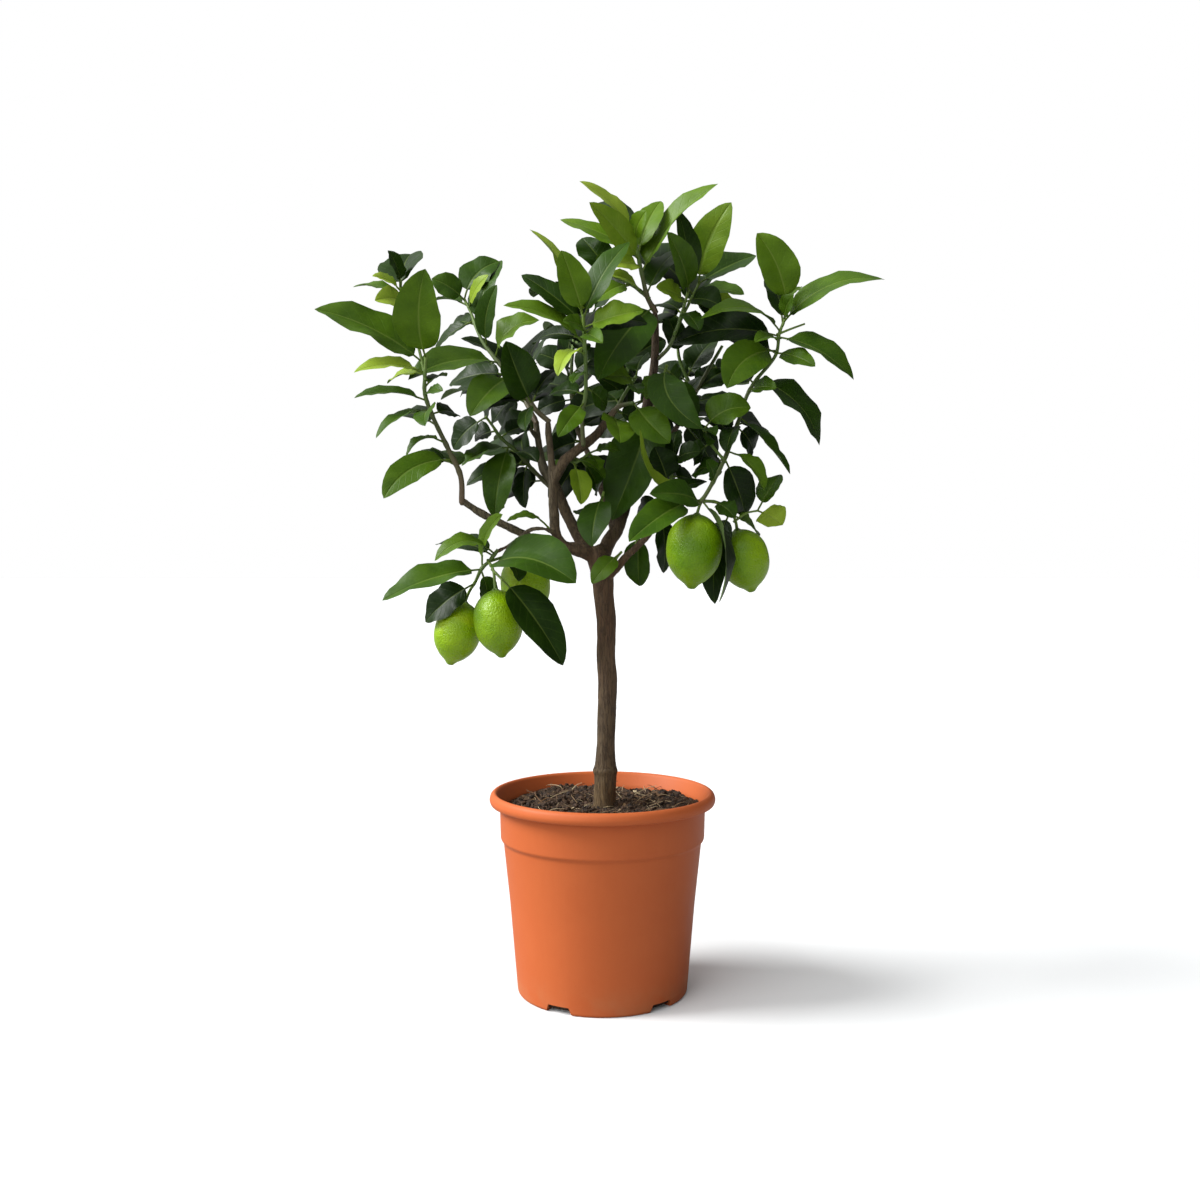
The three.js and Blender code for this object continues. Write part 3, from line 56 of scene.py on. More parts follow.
# ---------------------------------------- node trees in Python's own words
class Flow:
    """A value that runs through a node tree: an output socket, with operators that add Math nodes."""

    def __init__(self, graph: "Graph", socket: bpy.types.NodeSocket) -> None:
        """Wraps one socket.

        Args:
            graph: The tree that the socket belongs to.
            socket: The output socket.
        """
        self.graph, self.socket = graph, socket

    @property
    def is_vector(self) -> bool:
        """Whether it carries three numbers."""
        return self.socket.type in {"VECTOR", "RGBA", "ROTATION"}

    def _sum(self, operation: str, other: Any, turned: bool = False) -> "Flow":
        """The result of one operation, with self second when turned is true."""
        return self.graph.maths(operation, *((other, self) if turned else (self, other)))

    def __add__(self, other: Any) -> "Flow":
        """self + other."""
        return self._sum("ADD", other)

    def __radd__(self, other: Any) -> "Flow":
        """other + self."""
        return self._sum("ADD", other, True)

    def __sub__(self, other: Any) -> "Flow":
        """self - other."""
        return self._sum("SUBTRACT", other)

    def __rsub__(self, other: Any) -> "Flow":
        """other - self."""
        return self._sum("SUBTRACT", other, True)

    def __mul__(self, other: Any) -> "Flow":
        """self * other."""
        return self._sum("MULTIPLY", other)

    def __rmul__(self, other: Any) -> "Flow":
        """other * self."""
        return self._sum("MULTIPLY", other, True)

    def __truediv__(self, other: Any) -> "Flow":
        """self / other."""
        return self._sum("DIVIDE", other)

    def __rtruediv__(self, other: Any) -> "Flow":
        """other / self."""
        return self._sum("DIVIDE", other, True)

    def __gt__(self, other: Any) -> "Flow":
        """1 where self is over other, else 0."""
        return self._sum("GREATER_THAN", other)

    def __abs__(self) -> "Flow":
        """The value without its sign."""
        return self.graph.maths("ABSOLUTE", self)

    def parts(self) -> tuple["Flow", "Flow", "Flow"]:
        """The three numbers of a vector."""
        node = self.graph.node("ShaderNodeSeparateXYZ", {0: self}).socket.node
        return tuple(Flow(self.graph, s) for s in node.outputs)


class Graph:
    """A node tree while it is written."""

    def __init__(self, tree: bpy.types.NodeTree) -> None:
        """Starts with an empty tree.

        Args:
            tree: The tree of a material, a world or a Geometry Nodes group.
        """
        self.tree = tree
        tree.nodes.clear()

    def feed(self, socket: bpy.types.NodeSocket, value: Any) -> None:
        """Links a Flow to an input, or sets the input's own value; a colour may be a screen code."""
        if isinstance(value, Flow):
            self.tree.links.new(value.socket, socket)
        elif isinstance(value, str) and socket.type == "RGBA":
            socket.default_value = (*linear(value), 1.0)
        elif isinstance(value, tuple) and socket.type == "RGBA" and len(value) == 3:
            socket.default_value = (*value, 1.0)
        elif isinstance(value, (int, float)) and socket.type == "VECTOR":
            socket.default_value = (value, value, value)
        else:
            socket.default_value = value

    def node(
        self, kind: str, inputs: dict[int | str, Any] | None = None, out: int | str = 0, **settings: Any
    ) -> Flow:
        """Adds any node.

        Args:
            kind: The node's type name.
            inputs: Values or links, by the socket's name or number.
            out: The output wanted, by name or number.
            **settings: The node's own settings, set first; stops holds a ramp's colours by their places.

        Returns:
            The wanted output, or the node's first socket where it has no output.
        """
        made = self.tree.nodes.new(kind)
        for name, value in settings.items():
            if name == "stops":
                while len(made.color_ramp.elements) < len(value):
                    made.color_ramp.elements.new(1.0)
                for element, (spot, code) in zip(made.color_ramp.elements, value.items()):
                    element.position, element.color = spot, (*linear(code), 1.0)
            else:
                setattr(made, name, value)
        for key, value in (inputs or {}).items():
            self.feed(made.inputs[key], value)
        return Flow(self, made.outputs[out] if len(made.outputs) else made.inputs[0])

    def maths(self, operation: str, *values: Any) -> Flow:
        """A Math node, or a Vector Math node where a value is a vector."""
        vectors = [isinstance(v, tuple) or (isinstance(v, Flow) and v.is_vector) for v in values]
        if not any(vectors):
            return self.node("ShaderNodeMath", dict(enumerate(values)), operation=operation)
        if operation in {"MULTIPLY", "DIVIDE"} and not all(vectors):
            vector, number = (values[0], values[1]) if vectors[0] else (values[1], values[0])
            number = 1 / number if operation == "DIVIDE" else number
            return self.node("ShaderNodeVectorMath", {0: vector, "Scale": number}, operation="SCALE")
        out = "Value" if operation in {"DOT_PRODUCT", "LENGTH"} else "Vector"
        return self.node("ShaderNodeVectorMath", dict(enumerate(values)), out, operation=operation)

    def clamp(self, value: Flow) -> Flow:
        """A number kept between 0 and 1."""
        return self.maths("MINIMUM", self.maths("MAXIMUM", value, 0.0), 1.0)

    def smooth(self, value: Flow, low: float, high: float) -> Flow:
        """0 below low and 1 above high, with a soft step between; low may be the larger."""
        names = {"Value": value, "From Min": low, "From Max": high}
        return self.node("ShaderNodeMapRange", names, interpolation_type="SMOOTHSTEP")

    def mix(self, first: Any, second: Any, share: Any) -> Flow:
        """Two colours mixed, with share of the second."""
        return self.node("ShaderNodeMix", {0: share, 6: first, 7: second}, 2, data_type="RGBA")

    def ramp(self, share: Flow, stops: dict[float, str]) -> Flow:
        """A colour between those at a ramp's places."""
        return self.node("ShaderNodeValToRGB", {0: share}, stops=stops)

    def noise(self, where: Flow, scale: float, detail: float = 3.0, roughness: float = 0.55) -> Flow:
        """A noise between 0 and 1 at a place."""
        names = {"Vector": where, "Scale": scale, "Detail": detail, "Roughness": roughness}
        return self.node("ShaderNodeTexNoise", names)

    def cells(self, where: Flow, scale: float) -> Flow:
        """The distance to the nearest of scattered points."""
        return self.node("ShaderNodeTexVoronoi", {"Vector": where, "Scale": scale}, "Distance")

    def attribute(self, name: str, out: str = "Vector") -> Flow:
        """A piece's own attribute, in a material."""
        return self.node("ShaderNodeAttribute", None, out, attribute_name=name)

    def named(self, name: str, kind: str = "FLOAT") -> Flow:
        """A mesh's own attribute, in a Geometry Nodes tree."""
        return self.node("GeometryNodeInputNamedAttribute", {"Name": name}, data_type=kind)

    def bump(self, height: Flow, distance: float, strength: float = 1.0) -> Flow:
        """A normal for a height in units of distance, in metres."""
        return self.node("ShaderNodeBump", {"Height": height, "Distance": distance, "Strength": strength})

    def principled(self, colour: Flow, rough: Flow | float, normal: Flow, specular: float = 0.5) -> Flow:
        """A Principled shader, as glossy all over as specular says."""
        names = {"Base Color": colour, "Roughness": rough, "Normal": normal, "Specular IOR Level": specular}
        return self.node("ShaderNodeBsdfPrincipled", names)


class Rule:
    """A Geometry Nodes tree with named inputs. It is worked out on an object and leaves a plain mesh."""

    KINDS = {float: "NodeSocketFloat", int: "NodeSocketInt", bpy.types.Object: "NodeSocketObject"}

    def __init__(self, name: str, inputs: dict[str, float | int | type], materials: int = 1) -> None:
        """Makes the tree's sockets.

        Args:
            name: The tree's name.
            inputs: Each input's name, with its default or its type.
            materials: How many material inputs it has.
        """
        self.tree = bpy.data.node_groups.new(name, "GeometryNodeTree")
        face = self.tree.interface
        face.new_socket(name="Geometry", in_out="INPUT", socket_type="NodeSocketGeometry")
        face.new_socket(name="Geometry", in_out="OUTPUT", socket_type="NodeSocketGeometry")
        self.keys: dict[str, str] = {}
        for label, value in inputs.items():
            kind = value if isinstance(value, type) else type(value)
            socket = face.new_socket(name=label, in_out="INPUT", socket_type=self.KINDS[kind])
            if not isinstance(value, type):
                socket.default_value = value
            self.keys[label] = socket.identifier
        for number in range(materials):
            label = f"Material {number + 1}"
            socket = face.new_socket(name=label, in_out="INPUT", socket_type="NodeSocketMaterial")
            self.keys[label] = socket.identifier
        self.graph = Graph(self.tree)
        self.start = self.tree.nodes.new("NodeGroupInput")

    def given(self, label: str) -> Flow:
        """One of the tree's inputs."""
        return Flow(self.graph, self.start.outputs[label])

    def dressed(self, geometry: Flow, number: int = 1) -> Flow:
        """The geometry made real, in one of the tree's materials."""
        real = self.graph.node("GeometryNodeRealizeInstances", {0: geometry})
        names = {0: real, "Material": self.given(f"Material {number}")}
        return self.graph.node("GeometryNodeSetMaterial", names)

    def moved(self, geometry: Flow, place: Flow | None = None, offset: Flow | None = None) -> Flow:
        """The geometry with its points put at a place, or shifted."""
        names = {0: geometry, "Position": place, "Offset": offset}
        given = {name: value for name, value in names.items() if value is not None}
        return self.graph.node("GeometryNodeSetPosition", given)

    def end(self, *geometries: Flow) -> None:
        """Joins what is given and hands it out."""
        joined = self.tree.nodes.new("GeometryNodeJoinGeometry")
        for geometry in geometries:
            self.tree.links.new(geometry.socket, joined.inputs[0])
        self.tree.links.new(joined.outputs[0], self.tree.nodes.new("NodeGroupOutput").inputs[0])

    def run(self, piece: bpy.types.Object, materials: Iterable[bpy.types.Material], **values: Any) -> None:
        """Works the tree out on a piece.

        Args:
            piece: The object whose mesh the tree reads, and which keeps the result.
            materials: One for each of the tree's material inputs.
            **values: The other inputs, with _ for each space in a name.
        """
        modifier = piece.modifiers.new(self.tree.name, "NODES")
        modifier.node_group = self.tree
        for label, value in values.items():
            modifier[self.keys[label.replace("_", " ").capitalize()]] = value
        for number, material in enumerate(materials):
            modifier[self.keys[f"Material {number + 1}"]] = material
        settle(piece)


# ---------------------------------------- meshes
def settle(piece: bpy.types.Object) -> None:
    """Turns what a piece's modifiers show into its own plain mesh, and takes the modifiers off."""
    bpy.context.view_layer.update()
    depsgraph = bpy.context.evaluated_depsgraph_get()
    made = bpy.data.meshes.new_from_object(
        piece.evaluated_get(depsgraph), preserve_all_data_layers=True, depsgraph=depsgraph
    )
    piece.modifiers.clear()
    piece.data = made
    made.name = piece.name


def make(
    name: str,
    points: Array,
    faces: Iterable[tuple[int, ...]] = (),
    edges: Iterable[tuple[int, int]] = (),
    **attributes: Array,
) -> bpy.types.Object:
    """Makes an object from points in metres.

    Args:
        name: The object's name.
        points: An array of places.
        faces: The points of each face.
        edges: The points of each edge, where there are no faces.
        **attributes: Numbers or vectors, one for each point.

    Returns:
        The new object, linked to the scene.
    """
    mesh = bpy.data.meshes.new(name)
    mesh.from_pydata([tuple(map(float, p)) for p in points], list(edges), list(faces))
    for label, values in attributes.items():
        values = np.asarray(values, dtype=float)
        kind = "FLOAT_VECTOR" if values.ndim == 2 else "FLOAT"
        layer = mesh.attributes.new(label, kind, "POINT")
        layer.data.foreach_set("vector" if values.ndim == 2 else "value", values.ravel())
    mesh.update()
    piece = bpy.data.objects.new(name, mesh)
    bpy.context.scene.collection.objects.link(piece)
    return piece


def rings_to_faces(rings: int, sides: int, shut: bool = False) -> list[tuple[int, ...]]:
    """The four-sided faces between rings of points; shut joins the last ring to the first."""
    faces = []
    for i in range(rings if shut else rings - 1):
        for k in range(sides):
            a, b = i * sides + k, i * sides + (k + 1) % sides
            c, d = ((i + 1) % rings) * sides + k, ((i + 1) % rings) * sides + (k + 1) % sides
            faces.append((a, b, d, c))
    return faces


def closed_faces(rings: int, sides: int) -> list[tuple[int, ...]]:
    """The faces of a closed body whose ends are points 0 and 1, with its rings of points after them."""
    faces = [tuple(i + 2 for i in face) for face in rings_to_faces(rings, sides)]
    last = 2 + (rings - 1) * sides
    faces += [(0, 2 + (k + 1) % sides, 2 + k) for k in range(sides)]
    faces += [(1, last + k, last + (k + 1) % sides) for k in range(sides)]
    return faces


def shade(piece: bpy.types.Object, angle: float = 180.0) -> None:
    """Smooths a piece's shading, except at edges sharper than an angle in degrees; turns its faces out."""
    work = bmesh.new()
    work.from_mesh(piece.data)
    bmesh.ops.recalc_face_normals(work, faces=work.faces)
    for face in work.faces:
        face.smooth = True
    for edge in work.edges:
        if len(edge.link_faces) == 2 and edge.calc_face_angle(0.0) > math.radians(angle):
            edge.smooth = False
    work.to_mesh(piece.data)
    work.free()


def drop(*pieces: bpy.types.Object) -> None:
    """Takes helper objects out of the file."""
    for piece in pieces:
        bpy.data.objects.remove(piece, do_unlink=True)


def keep_only(piece: bpy.types.Object, *names: str) -> None:
    """Takes a mesh's own attributes off, apart from those named and Blender's own."""
    layers = piece.data.attributes
    for name in [a.name for a in layers if not a.name.startswith((".", "position", "material", "sharp"))]:
        if name not in names and not layers[name].is_required:
            layers.remove(layers[name])


def curved(path: Array, steps: int) -> Array:
    """A smooth line through the rows of a path: each row may hold a diameter and more after its place."""
    rows = np.vstack([2 * path[0] - path[1], path, 2 * path[-1] - path[-2]])
    line = []
    for i in range(1, len(rows) - 2):
        a, b, c, d = rows[i - 1 : i + 3]
        first, second, third = c - a, 2 * a - 5 * b + 4 * c - d, 3 * b - a - 3 * c + d
        for t in np.arange(steps) / steps:
            line.append(0.5 * (2 * b + first * t + second * t**2 + third * t**3))
    return np.array([*line, path[-1]])


def place(piece: bpy.types.Object, slot: str, *nodes: str) -> bpy.types.Object:
    """Rides a finished piece on the frame, in the place of CAD nodes."""
    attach(piece, "root")
    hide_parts(*nodes)
    LOG.info("%s: %d faces for %s", piece.name, len(piece.data.polygons), ", ".join(nodes))
    return piece


def linear(code: str) -> tuple[float, float, float]:
    """A colour as the shaders take it, from its six-figure screen code."""
    levels = [int(code[i : i + 2], 16) / 255 for i in (0, 2, 4)]
    return tuple(c / 12.92 if c <= 0.04045 else ((c + 0.055) / 1.055) ** 2.4 for c in levels)


# ---------------------------------------- sizes shared with the part's source
EYE = np.array([-2.1, -1126.6, 390.2])  # where the front view is seen from
SPREAD = 1.7  # how far a leaf's gain in depth is drawn out
PETIOLE = 8.0  # the length of a leaf's stalk
TURN = 6.283  # a full turn, rounded as in the part's source
FILL_STEP = 6.5  # along a stem, from one leaf that the front doesn't show to the next
FILL_TURN = 2.39996  # round the stem, from one of them to the next
FILL_LENGTHS = (80, 64, 50)  # the lengths that are tried for each of them

TRUNK: Points = (
    (1, 108, 0, 17), (1.1, 125, 0, 19), (1.3, 151, 0, 19.4), (2.4, 180, 0, 18.4), (2.5, 186, 0, 20.4),
    (2.6, 191, 0, 18), (2.8, 209, 0, 15.5), (3.9, 241, 0, 15.9), (4.4, 262, 0, 16.2), (2.7, 284, 0, 15.8),
    (3.3, 310, 0, 16.5), (1.2, 333, 0, 16.9), (0, 350, 0, 18.4), (-3.5, 366, 0, 19), (-7, 374, 1, 13),
)
BRANCHES: tuple[Points, ...] = (
    ((-4, 366, 0, 14), (-18, 371, -4, 12), (-33, 374.5, -9, 8.6), (-52, 379, -15, 7.4), (-69, 386, -21, 6.8),
     (-101, 402, -33, 6.4), (-116, 412, -40, 5.8)),
    ((-30, 373, -8, 8), (-37, 381, -12, 8), (-39.5, 390, -16, 8), (-40, 399, -19, 8.6), (-41, 410, -22, 7.6),
     (-41.3, 428, -25, 7.4), (-44, 459, -31, 5.6), (-45.5, 477, -34, 4.8)),
    ((-6, 366, 2, 13), (-17, 377, 7, 10.5), (-31, 404, 18, 9), (-39, 424, 25, 8.6), (-49, 439, 32, 7.6),
     (-53, 460, 40, 6), (-55, 476, 46, 5)),
    ((-2, 362, 2, 14), (5, 378, 5, 12.5), (13, 391, 8, 11.6), (24, 430, 14, 10.4), (34, 476, 18, 9),
     (42, 518, 16, 7.6), (43.6, 545, 12, 6.6), (43, 567, 6, 5.4)),
    ((-41.2, 427, -25, 7), (-33, 443, -32, 8.6), (-30, 447, -33, 8.4), (-20, 455, -32, 8),
     (-5, 467, -28, 7.6), (4, 479, -26, 6)),
    ((1, 346, 0, 10), (9, 353, -6, 7), (20, 366, -16, 6), (35, 380, -27, 5.6), (43, 391, -33, 5.4),
     (54, 400, -39, 5.2), (67, 409.5, -44, 4.6)),
    ((-39.2, 385, -15, 4), (-43.5, 387, -22, 3.6), (-50, 389, -28, 3.4), (-60, 388, -34, 3.4),
     (-70, 381, -39, 3.2), (-80, 374, -43, 3), (-88, 370, -46, 2.8)),
    ((-53, 462, 41, 4), (-60, 472, 38, 3.4), (-64, 479, 36, 2.6)),
    ((10, 388, 7, 8), (6, 404, 24, 7), (-2, 424, 48, 6), (-10, 446, 70, 5)),
    ((22, 424, 13, 7), (34, 440, 30, 6), (50, 458, 52, 5), (62, 474, 70, 4.4)),
)


@dataclass(frozen=True)
class LemonPlan:
    """One lemon as it is read from the front.

    Args:
        top: Where its stalk ends: x, z.
        tip: Its nipple: x, z.
        depth: How far back it hangs; less is nearer.
        width: Its greatest width.
        ripe: How yellow it is, 0 to 1.
    """

    top: tuple[float, float]
    tip: tuple[float, float]
    depth: float
    width: float
    ripe: float


LEMONS: dict[str, LemonPlan] = {
    "lemon_left_front": LemonPlan((-89.5, 338), (-84, 281), -60, 41.5, 0.35),
    "lemon_left_outer": LemonPlan((-115, 327.5), (-128, 275), -36, 39.5, 0.5),
    "lemon_left_inner": LemonPlan((-66, 368), (-62, 312), -12, 42, 0.5),
    "lemon_right_front": LemonPlan((78.8, 401), (74.2, 338.5), -50, 47, 0.22),
    "lemon_right_rear": LemonPlan((112, 388), (125, 336), -12, 42, 0.25),
}


@dataclass(frozen=True)
class ShootPlan:
    """One leafy shoot as it is read from the front.

    Args:
        fill: How many leaves it carries at most that the front doesn't show.
        stems: Lines of x, z, depth and diameter.
        leaves: Rows of base x and z, tip x and z, depth gained, width, share of the face seen, arch,
            tone from 0, deep green, to 1, lime, and a sideways sweep where it has one.
        hidden: The tone of the leaves that the front doesn't show.
    """

    fill: int
    stems: tuple[Points, ...]
    leaves: Points
    hidden: float = 0.22


SHOOTS: dict[str, ShootPlan] = {
    "shoot_left_outer": ShootPlan(
        fill=2,
        stems=(
            ((-117, 413, -40, 5), (-118, 433, -43.8, 4.4), (-128, 455, -47.8, 4),
             (-140, 480, -52.1, 3.6), (-147, 500, -55, 3.2), (-147, 516, -56.4, 3),
             (-146, 532, -56.9, 2.4)),
            ((-147, 514, -56.2, 2.8), (-150, 530, -50.7, 2.6), (-157, 557, -47.2, 2.2),
             (-167, 588, -46, 1.8)),
        ),
        leaves=(
            (-146, 530, -146, 603, -24, 40, .95, .05, .55, -.06),
            (-149, 527, -238, 570, -6, 25, .6, .05, .5, .04), (-166, 586, -158, 615, 16, 28, .7, .08, .25),
            (-167, 588, -177, 618, -6, 12, .5, .1, .3), (-165, 580, -206, 588, 8, 8, .25, .1, .5),
            (-165, 584, -190, 597, -10, 10, .4, .1, .9), (-163, 573, -188, 577, -16, 15, .7, .15, .9),
            (-153, 517, -206, 518, -8, 13, .4, .12, .85), (-151, 516, -178, 509, 16, 6, .2, .1, .85),
            (-147, 494, -206, 497, -4, 11, .25, .1, .45), (-142, 487, -188, 464, -16, 12, .3, .12, .45),
            (-140, 486, -147, 474, -30, 15, .7, .1, .45), (-141, 484, -121, 483, 20, 12, .6, .1, .2),
            (-131, 459, -163, 449, -12, 9, .25, .25, .45),
            (-125, 446, -182, 414, -14, 22, .75, .06, .5, .14), (-147, 506, -129, 515, 18, 8, .4, .1, .45),
            (-147, 499, -132, 503, -16, 7, .5, .1, .45), (-119, 436, -140, 452, 26, 14, .5, .12, .45),
        ),
    ),
    "shoot_left_inner": ShootPlan(
        fill=4,
        stems=(
            ((-45.8, 479, -34, 4.4), (-55, 487, -30.8, 4.2), (-65, 500, -26, 4), (-75, 512, -20.7, 3.8),
             (-85, 525, -14.8, 3.4), (-100, 545, -4.3, 3), (-109, 568, 9.7, 2.4), (-114, 578, 16, 2)),
        ),
        leaves=(
            (-88, 524, -161, 512, -22, 20, .5, .12, .5), (-107, 560, -140, 530, 14, 8, .35, .1, .25),
            (-107, 556, -125, 554, 26, 9, .5, .1, .3), (-114, 578, -85, 609, 6, 23, .8, .08, .4, -.12),
            (-114, 576, -141, 595, -4, 18, .7, .1, .45), (-113, 572, -139, 577, 14, 7, .2, .08, .45),
            (-108, 571, -94, 598, -12, 10, .5, .1, .8), (-103, 558, -83, 610, 16, 15, .7, .08, .4),
            (-94, 540, -87, 590, -14, 17, .8, .08, .4, -.05), (-87, 531, -52, 561, -4, 18, .45, .22, .6),
            (-57, 493, -80, 544, -12, 32, .9, .06, .3, -.05), (-75, 516, -110, 482, -34, 30, .85, .1, .5),
            (-80, 520, -97, 482, 22, 20, .7, .1, .15), (-66, 501, -84, 497, -14, 9, .5, .1, .4),
            (-58, 492, -38, 520, 16, 13, .7, .1, .2), (-58, 491, -64, 470, -18, 12, .7, .1, .3),
            (-78, 517, -127, 508, 16, 15, .55, .08, .25), (-66, 501, -92, 474, 4, 15, .6, .1, .2),
        ),
    ),
    "shoot_left_twig": ShootPlan(
        fill=4,
        stems=(
            ((-42, 422, 26, 4), (-50, 430, 29.5, 3.8), (-60, 440, 28.6, 3.4), (-70, 452, 22.7, 3),
             (-84, 464, 16.8, 2.8), (-91, 474, 11.9, 2.4), (-97, 482, 8, 2)),
        ),
        leaves=(
            (-76, 455, -117, 441, -10, 14, .3, .1, .45), (-78, 458, -90, 398, -14, 25, .9, .08, .45),
            (-66, 446, -82, 412, 14, 15, .6, .12, .2), (-62, 443, -64, 406, -12, 16, .8, .1, .2),
            (-70, 453, -54, 444, -18, 13, .7, .1, .2), (-97, 481, -124, 455, 6, 19, .7, .1, .2),
            (-84, 465, -60, 474, 12, 12, .6, .1, .2), (-88, 470, -106, 462, 24, 15, .6, .1, .2),
        ),
    ),
    "shoot_centre_left": ShootPlan(
        fill=5,
        stems=(
            ((-16, 461, -37, 3.8), (-17, 484, -42.4, 3.6), (-14, 500, -47.6, 3.2), (-14, 525, -56.7, 3),
             (-15, 545, -63.2, 2.8), (-16, 566, -69, 2.2)),
        ),
        leaves=(
            (-18, 558, -67, 598, 6, 17, .7, .05, .25), (-17, 541, -82, 573, -8, 14, .3, .11, .6),
            (-16, 564, -34, 618, -6, 27, .95, .06, .6), (-16, 562, -60, 635, 14, 9, .42, .08, .85),
            (-14, 562, 22, 625, 10, 15, .7, .08, .4), (-14, 555, 34, 569, -4, 17, .6, .1, .65, .08),
            (-13, 533, -37, 515, -22, 11, .5, .2, .85), (-14, 530, -24, 541, 20, 12, .7, .1, .4),
            (-15, 545, -57, 541, 20, 14, .6, .15, .15), (-16, 493, -37, 465, -18, 19, .95, .06, .5),
            (-15, 500, -44, 500, 12, 12, .5, .1, .3), (-14, 518, -25, 509, -14, 7, .4, .1, .45),
            (-14, 506, 3, 489, 14, 15, .8, .1, .4), (-14, 548, 0, 542, -22, 13, .8, .1, .5),
            (-15, 550, -33, 560, -16, 11, .6, .15, .5),
        ),
    ),
    "shoot_centre": ShootPlan(
        fill=7,
        stems=(
            ((5.5, 480.5, -25.5, 5), (12, 489, -25, 4.2), (19, 492, -26, 3.6), (26, 493, -29, 3)),
            ((12, 488, -25, 3.6), (18, 500, -21, 3.2), (28, 515, -17, 2.6)),
        ),
        leaves=(
            (7, 482, 14.5, 460, -14, 23, .75, .1, .6), (26, 493, 56, 460, -14, 28, .9, .06, .5, .06),
            (26, 513, 0, 514, -18, 18, .8, .08, .6), (14, 492, 1, 500, 16, 13, .6, .1, .4),
            (28, 515, 35, 532, 10, 16, .7, .1, .35), (22, 507, 30, 500, -20, 12, .7, .1, .4),
            (10, 486, 30, 474, 14, 16, .7, .12, .3),
        ),
    ),
    "shoot_underleaves": ShootPlan(
        fill=3,
        stems=(
            ((-27.5, 449.5, -23, 3.2), (-24, 444, -27, 2.8), (-17, 447, -28, 2.4), (-10, 452, -26, 2)),
        ),
        leaves=(
            (-27, 446, 2, 430, -6, 11, .5, .16, .5), (-25, 444, -18, 409, -8, 18, .85, .08, .75),
            (-27, 446, -38, 422, -8, 11, .5, .14, .5), (-18, 446, -5, 418, 18, 16, .7, .1, .35),
            (-10, 452, 15, 453, -2, 9, .4, .12, .45), (-11, 451, -3, 438, -10, 9, .6, .1, .5),
        ),
    ),
    "shoot_middle": ShootPlan(
        fill=8,
        stems=(
            ((39.8, 484, 14, 4.2), (45, 492, 1.8, 3.8), (49, 506, -12.3, 3.4), (53, 524, -27, 2.6)),
        ),
        leaves=(
            (53, 524, 83, 472, -20, 30, .92, .06, .35, .2), (50, 517, 36, 496, -16, 18, .8, .08, .5),
            (42, 486, 8, 396, -30, 47, .95, .05, .4, -.03), (49, 508, 79, 482, 8, 13, .5, .15, .35),
            (52, 520, 64, 508, 22, 14, .6, .1, .3), (44, 490, 64, 478, 24, 18, .7, .1, .3),
            (42, 488, 47, 458, 4, 22, .8, .1, .2),
        ),
    ),
    "shoot_fork": ShootPlan(
        fill=2,
        stems=(
            ((-9.5, 379, -11, 3), (-7, 388, -14, 2.8), (-3, 402, -16, 2.6), (1, 420, -17, 2)),
        ),
        leaves=(
            (0, 416, -9, 374, -18, 27, .9, .1, .35), (-6, 392, -22, 404, 12, 12, .6, .1, .3),
        ),
    ),
    "leaf_trunk": ShootPlan(
        fill=0,
        stems=(
            ((7.6, 357, -14.5, 2.4), (12, 365, -19, 2.2), (16, 370, -21, 1.8)),
        ),
        leaves=(
            (15, 369, -9, 343, -8, 18, .9, .08, .55),
        ),
    ),
    "shoot_crown_left": ShootPlan(
        fill=3,
        stems=(
            ((43, 569, 6, 4.6), (37, 580, -.8, 4), (33, 596, -7.9, 3.4), (29, 615, -14.7, 2.8),
             (26, 632, -20, 2)),
            ((37, 580, -.8, 3.2), (24, 590, 2.7, 2.8), (7, 598, 4.6, 2.2)),
        ),
        leaves=(
            (26, 632, -19, 674, -8, 13, .5, .08, .9), (30, 610, -11, 657, -16, 22, .85, .06, .7),
            (28, 616, -35, 643, 14, 13, .5, .04, .6), (9, 597, -17, 628, 12, 24, .85, .1, .3, -.05),
            (27, 625, 0, 637, -14, 10, .5, .1, .9), (29, 614, 48, 658, 12, 20, .8, .08, .6),
            (33, 600, 95, 672, -4, 14, .42, .06, .6, -.05), (36, 582, 65, 619, 18, 20, .7, .1, .35),
            (31, 585, 5, 598, -18, 10, .5, .1, .85), (31, 604, 7, 606, -14, 12, .6, .1, .85),
            (23, 590, -6, 576, -12, 15, .7, .1, .6), (41, 571, -4, 512, -32, 32, .95, .05, .4, .03),
            (7, 598, -6, 611, -16, 13, .6, .1, .5), (27, 625, 36, 650, -12, 12, .6, .1, .6),
        ),
    ),
    "shoot_crown_right": ShootPlan(
        fill=3,
        stems=(
            ((47.4, 531, 13, 3.6), (55, 539, 10.9, 3.2), (61, 553, 10.9, 3), (66, 568, 13.3, 2.6),
             (71, 586, 17.8, 2)),
            ((60, 551, 10.2, 2.8), (69, 570, 24.1, 2.4), (80, 592, 36, 2)),
        ),
        leaves=(
            (79, 590, 106, 657, -8, 31, .95, .05, .65, -.06), (71, 586, 62, 650, 14, 18, .8, .08, .3),
            (70, 584, 53, 633, -10, 18, .8, .08, .5), (80, 591, 126, 614, 16, 20, .6, .03, .35),
            (77, 585, 117, 582, -12, 11, .4, .06, .5), (68, 576, 98, 572, -6, 16, .5, .15, .25),
            (68, 575, 44, 588, -14, 13, .6, .1, .7), (66, 568, 80, 552, -14, 15, .8, .1, .35),
            (65, 566, 48, 574, 14, 16, .5, .12, .3), (70, 573, 92, 596, 26, 16, .6, .1, .35),
            (77, 585, 121, 548, 12, 22, .75, .06, .8),
        ),
    ),
    "shoot_right": ShootPlan(
        fill=6,
        stems=(
            ((68.4, 410.6, -44, 4.2), (75, 411, -47, 3.8), (82, 412, -49, 3.6), (92, 428, -38.7, 3.4),
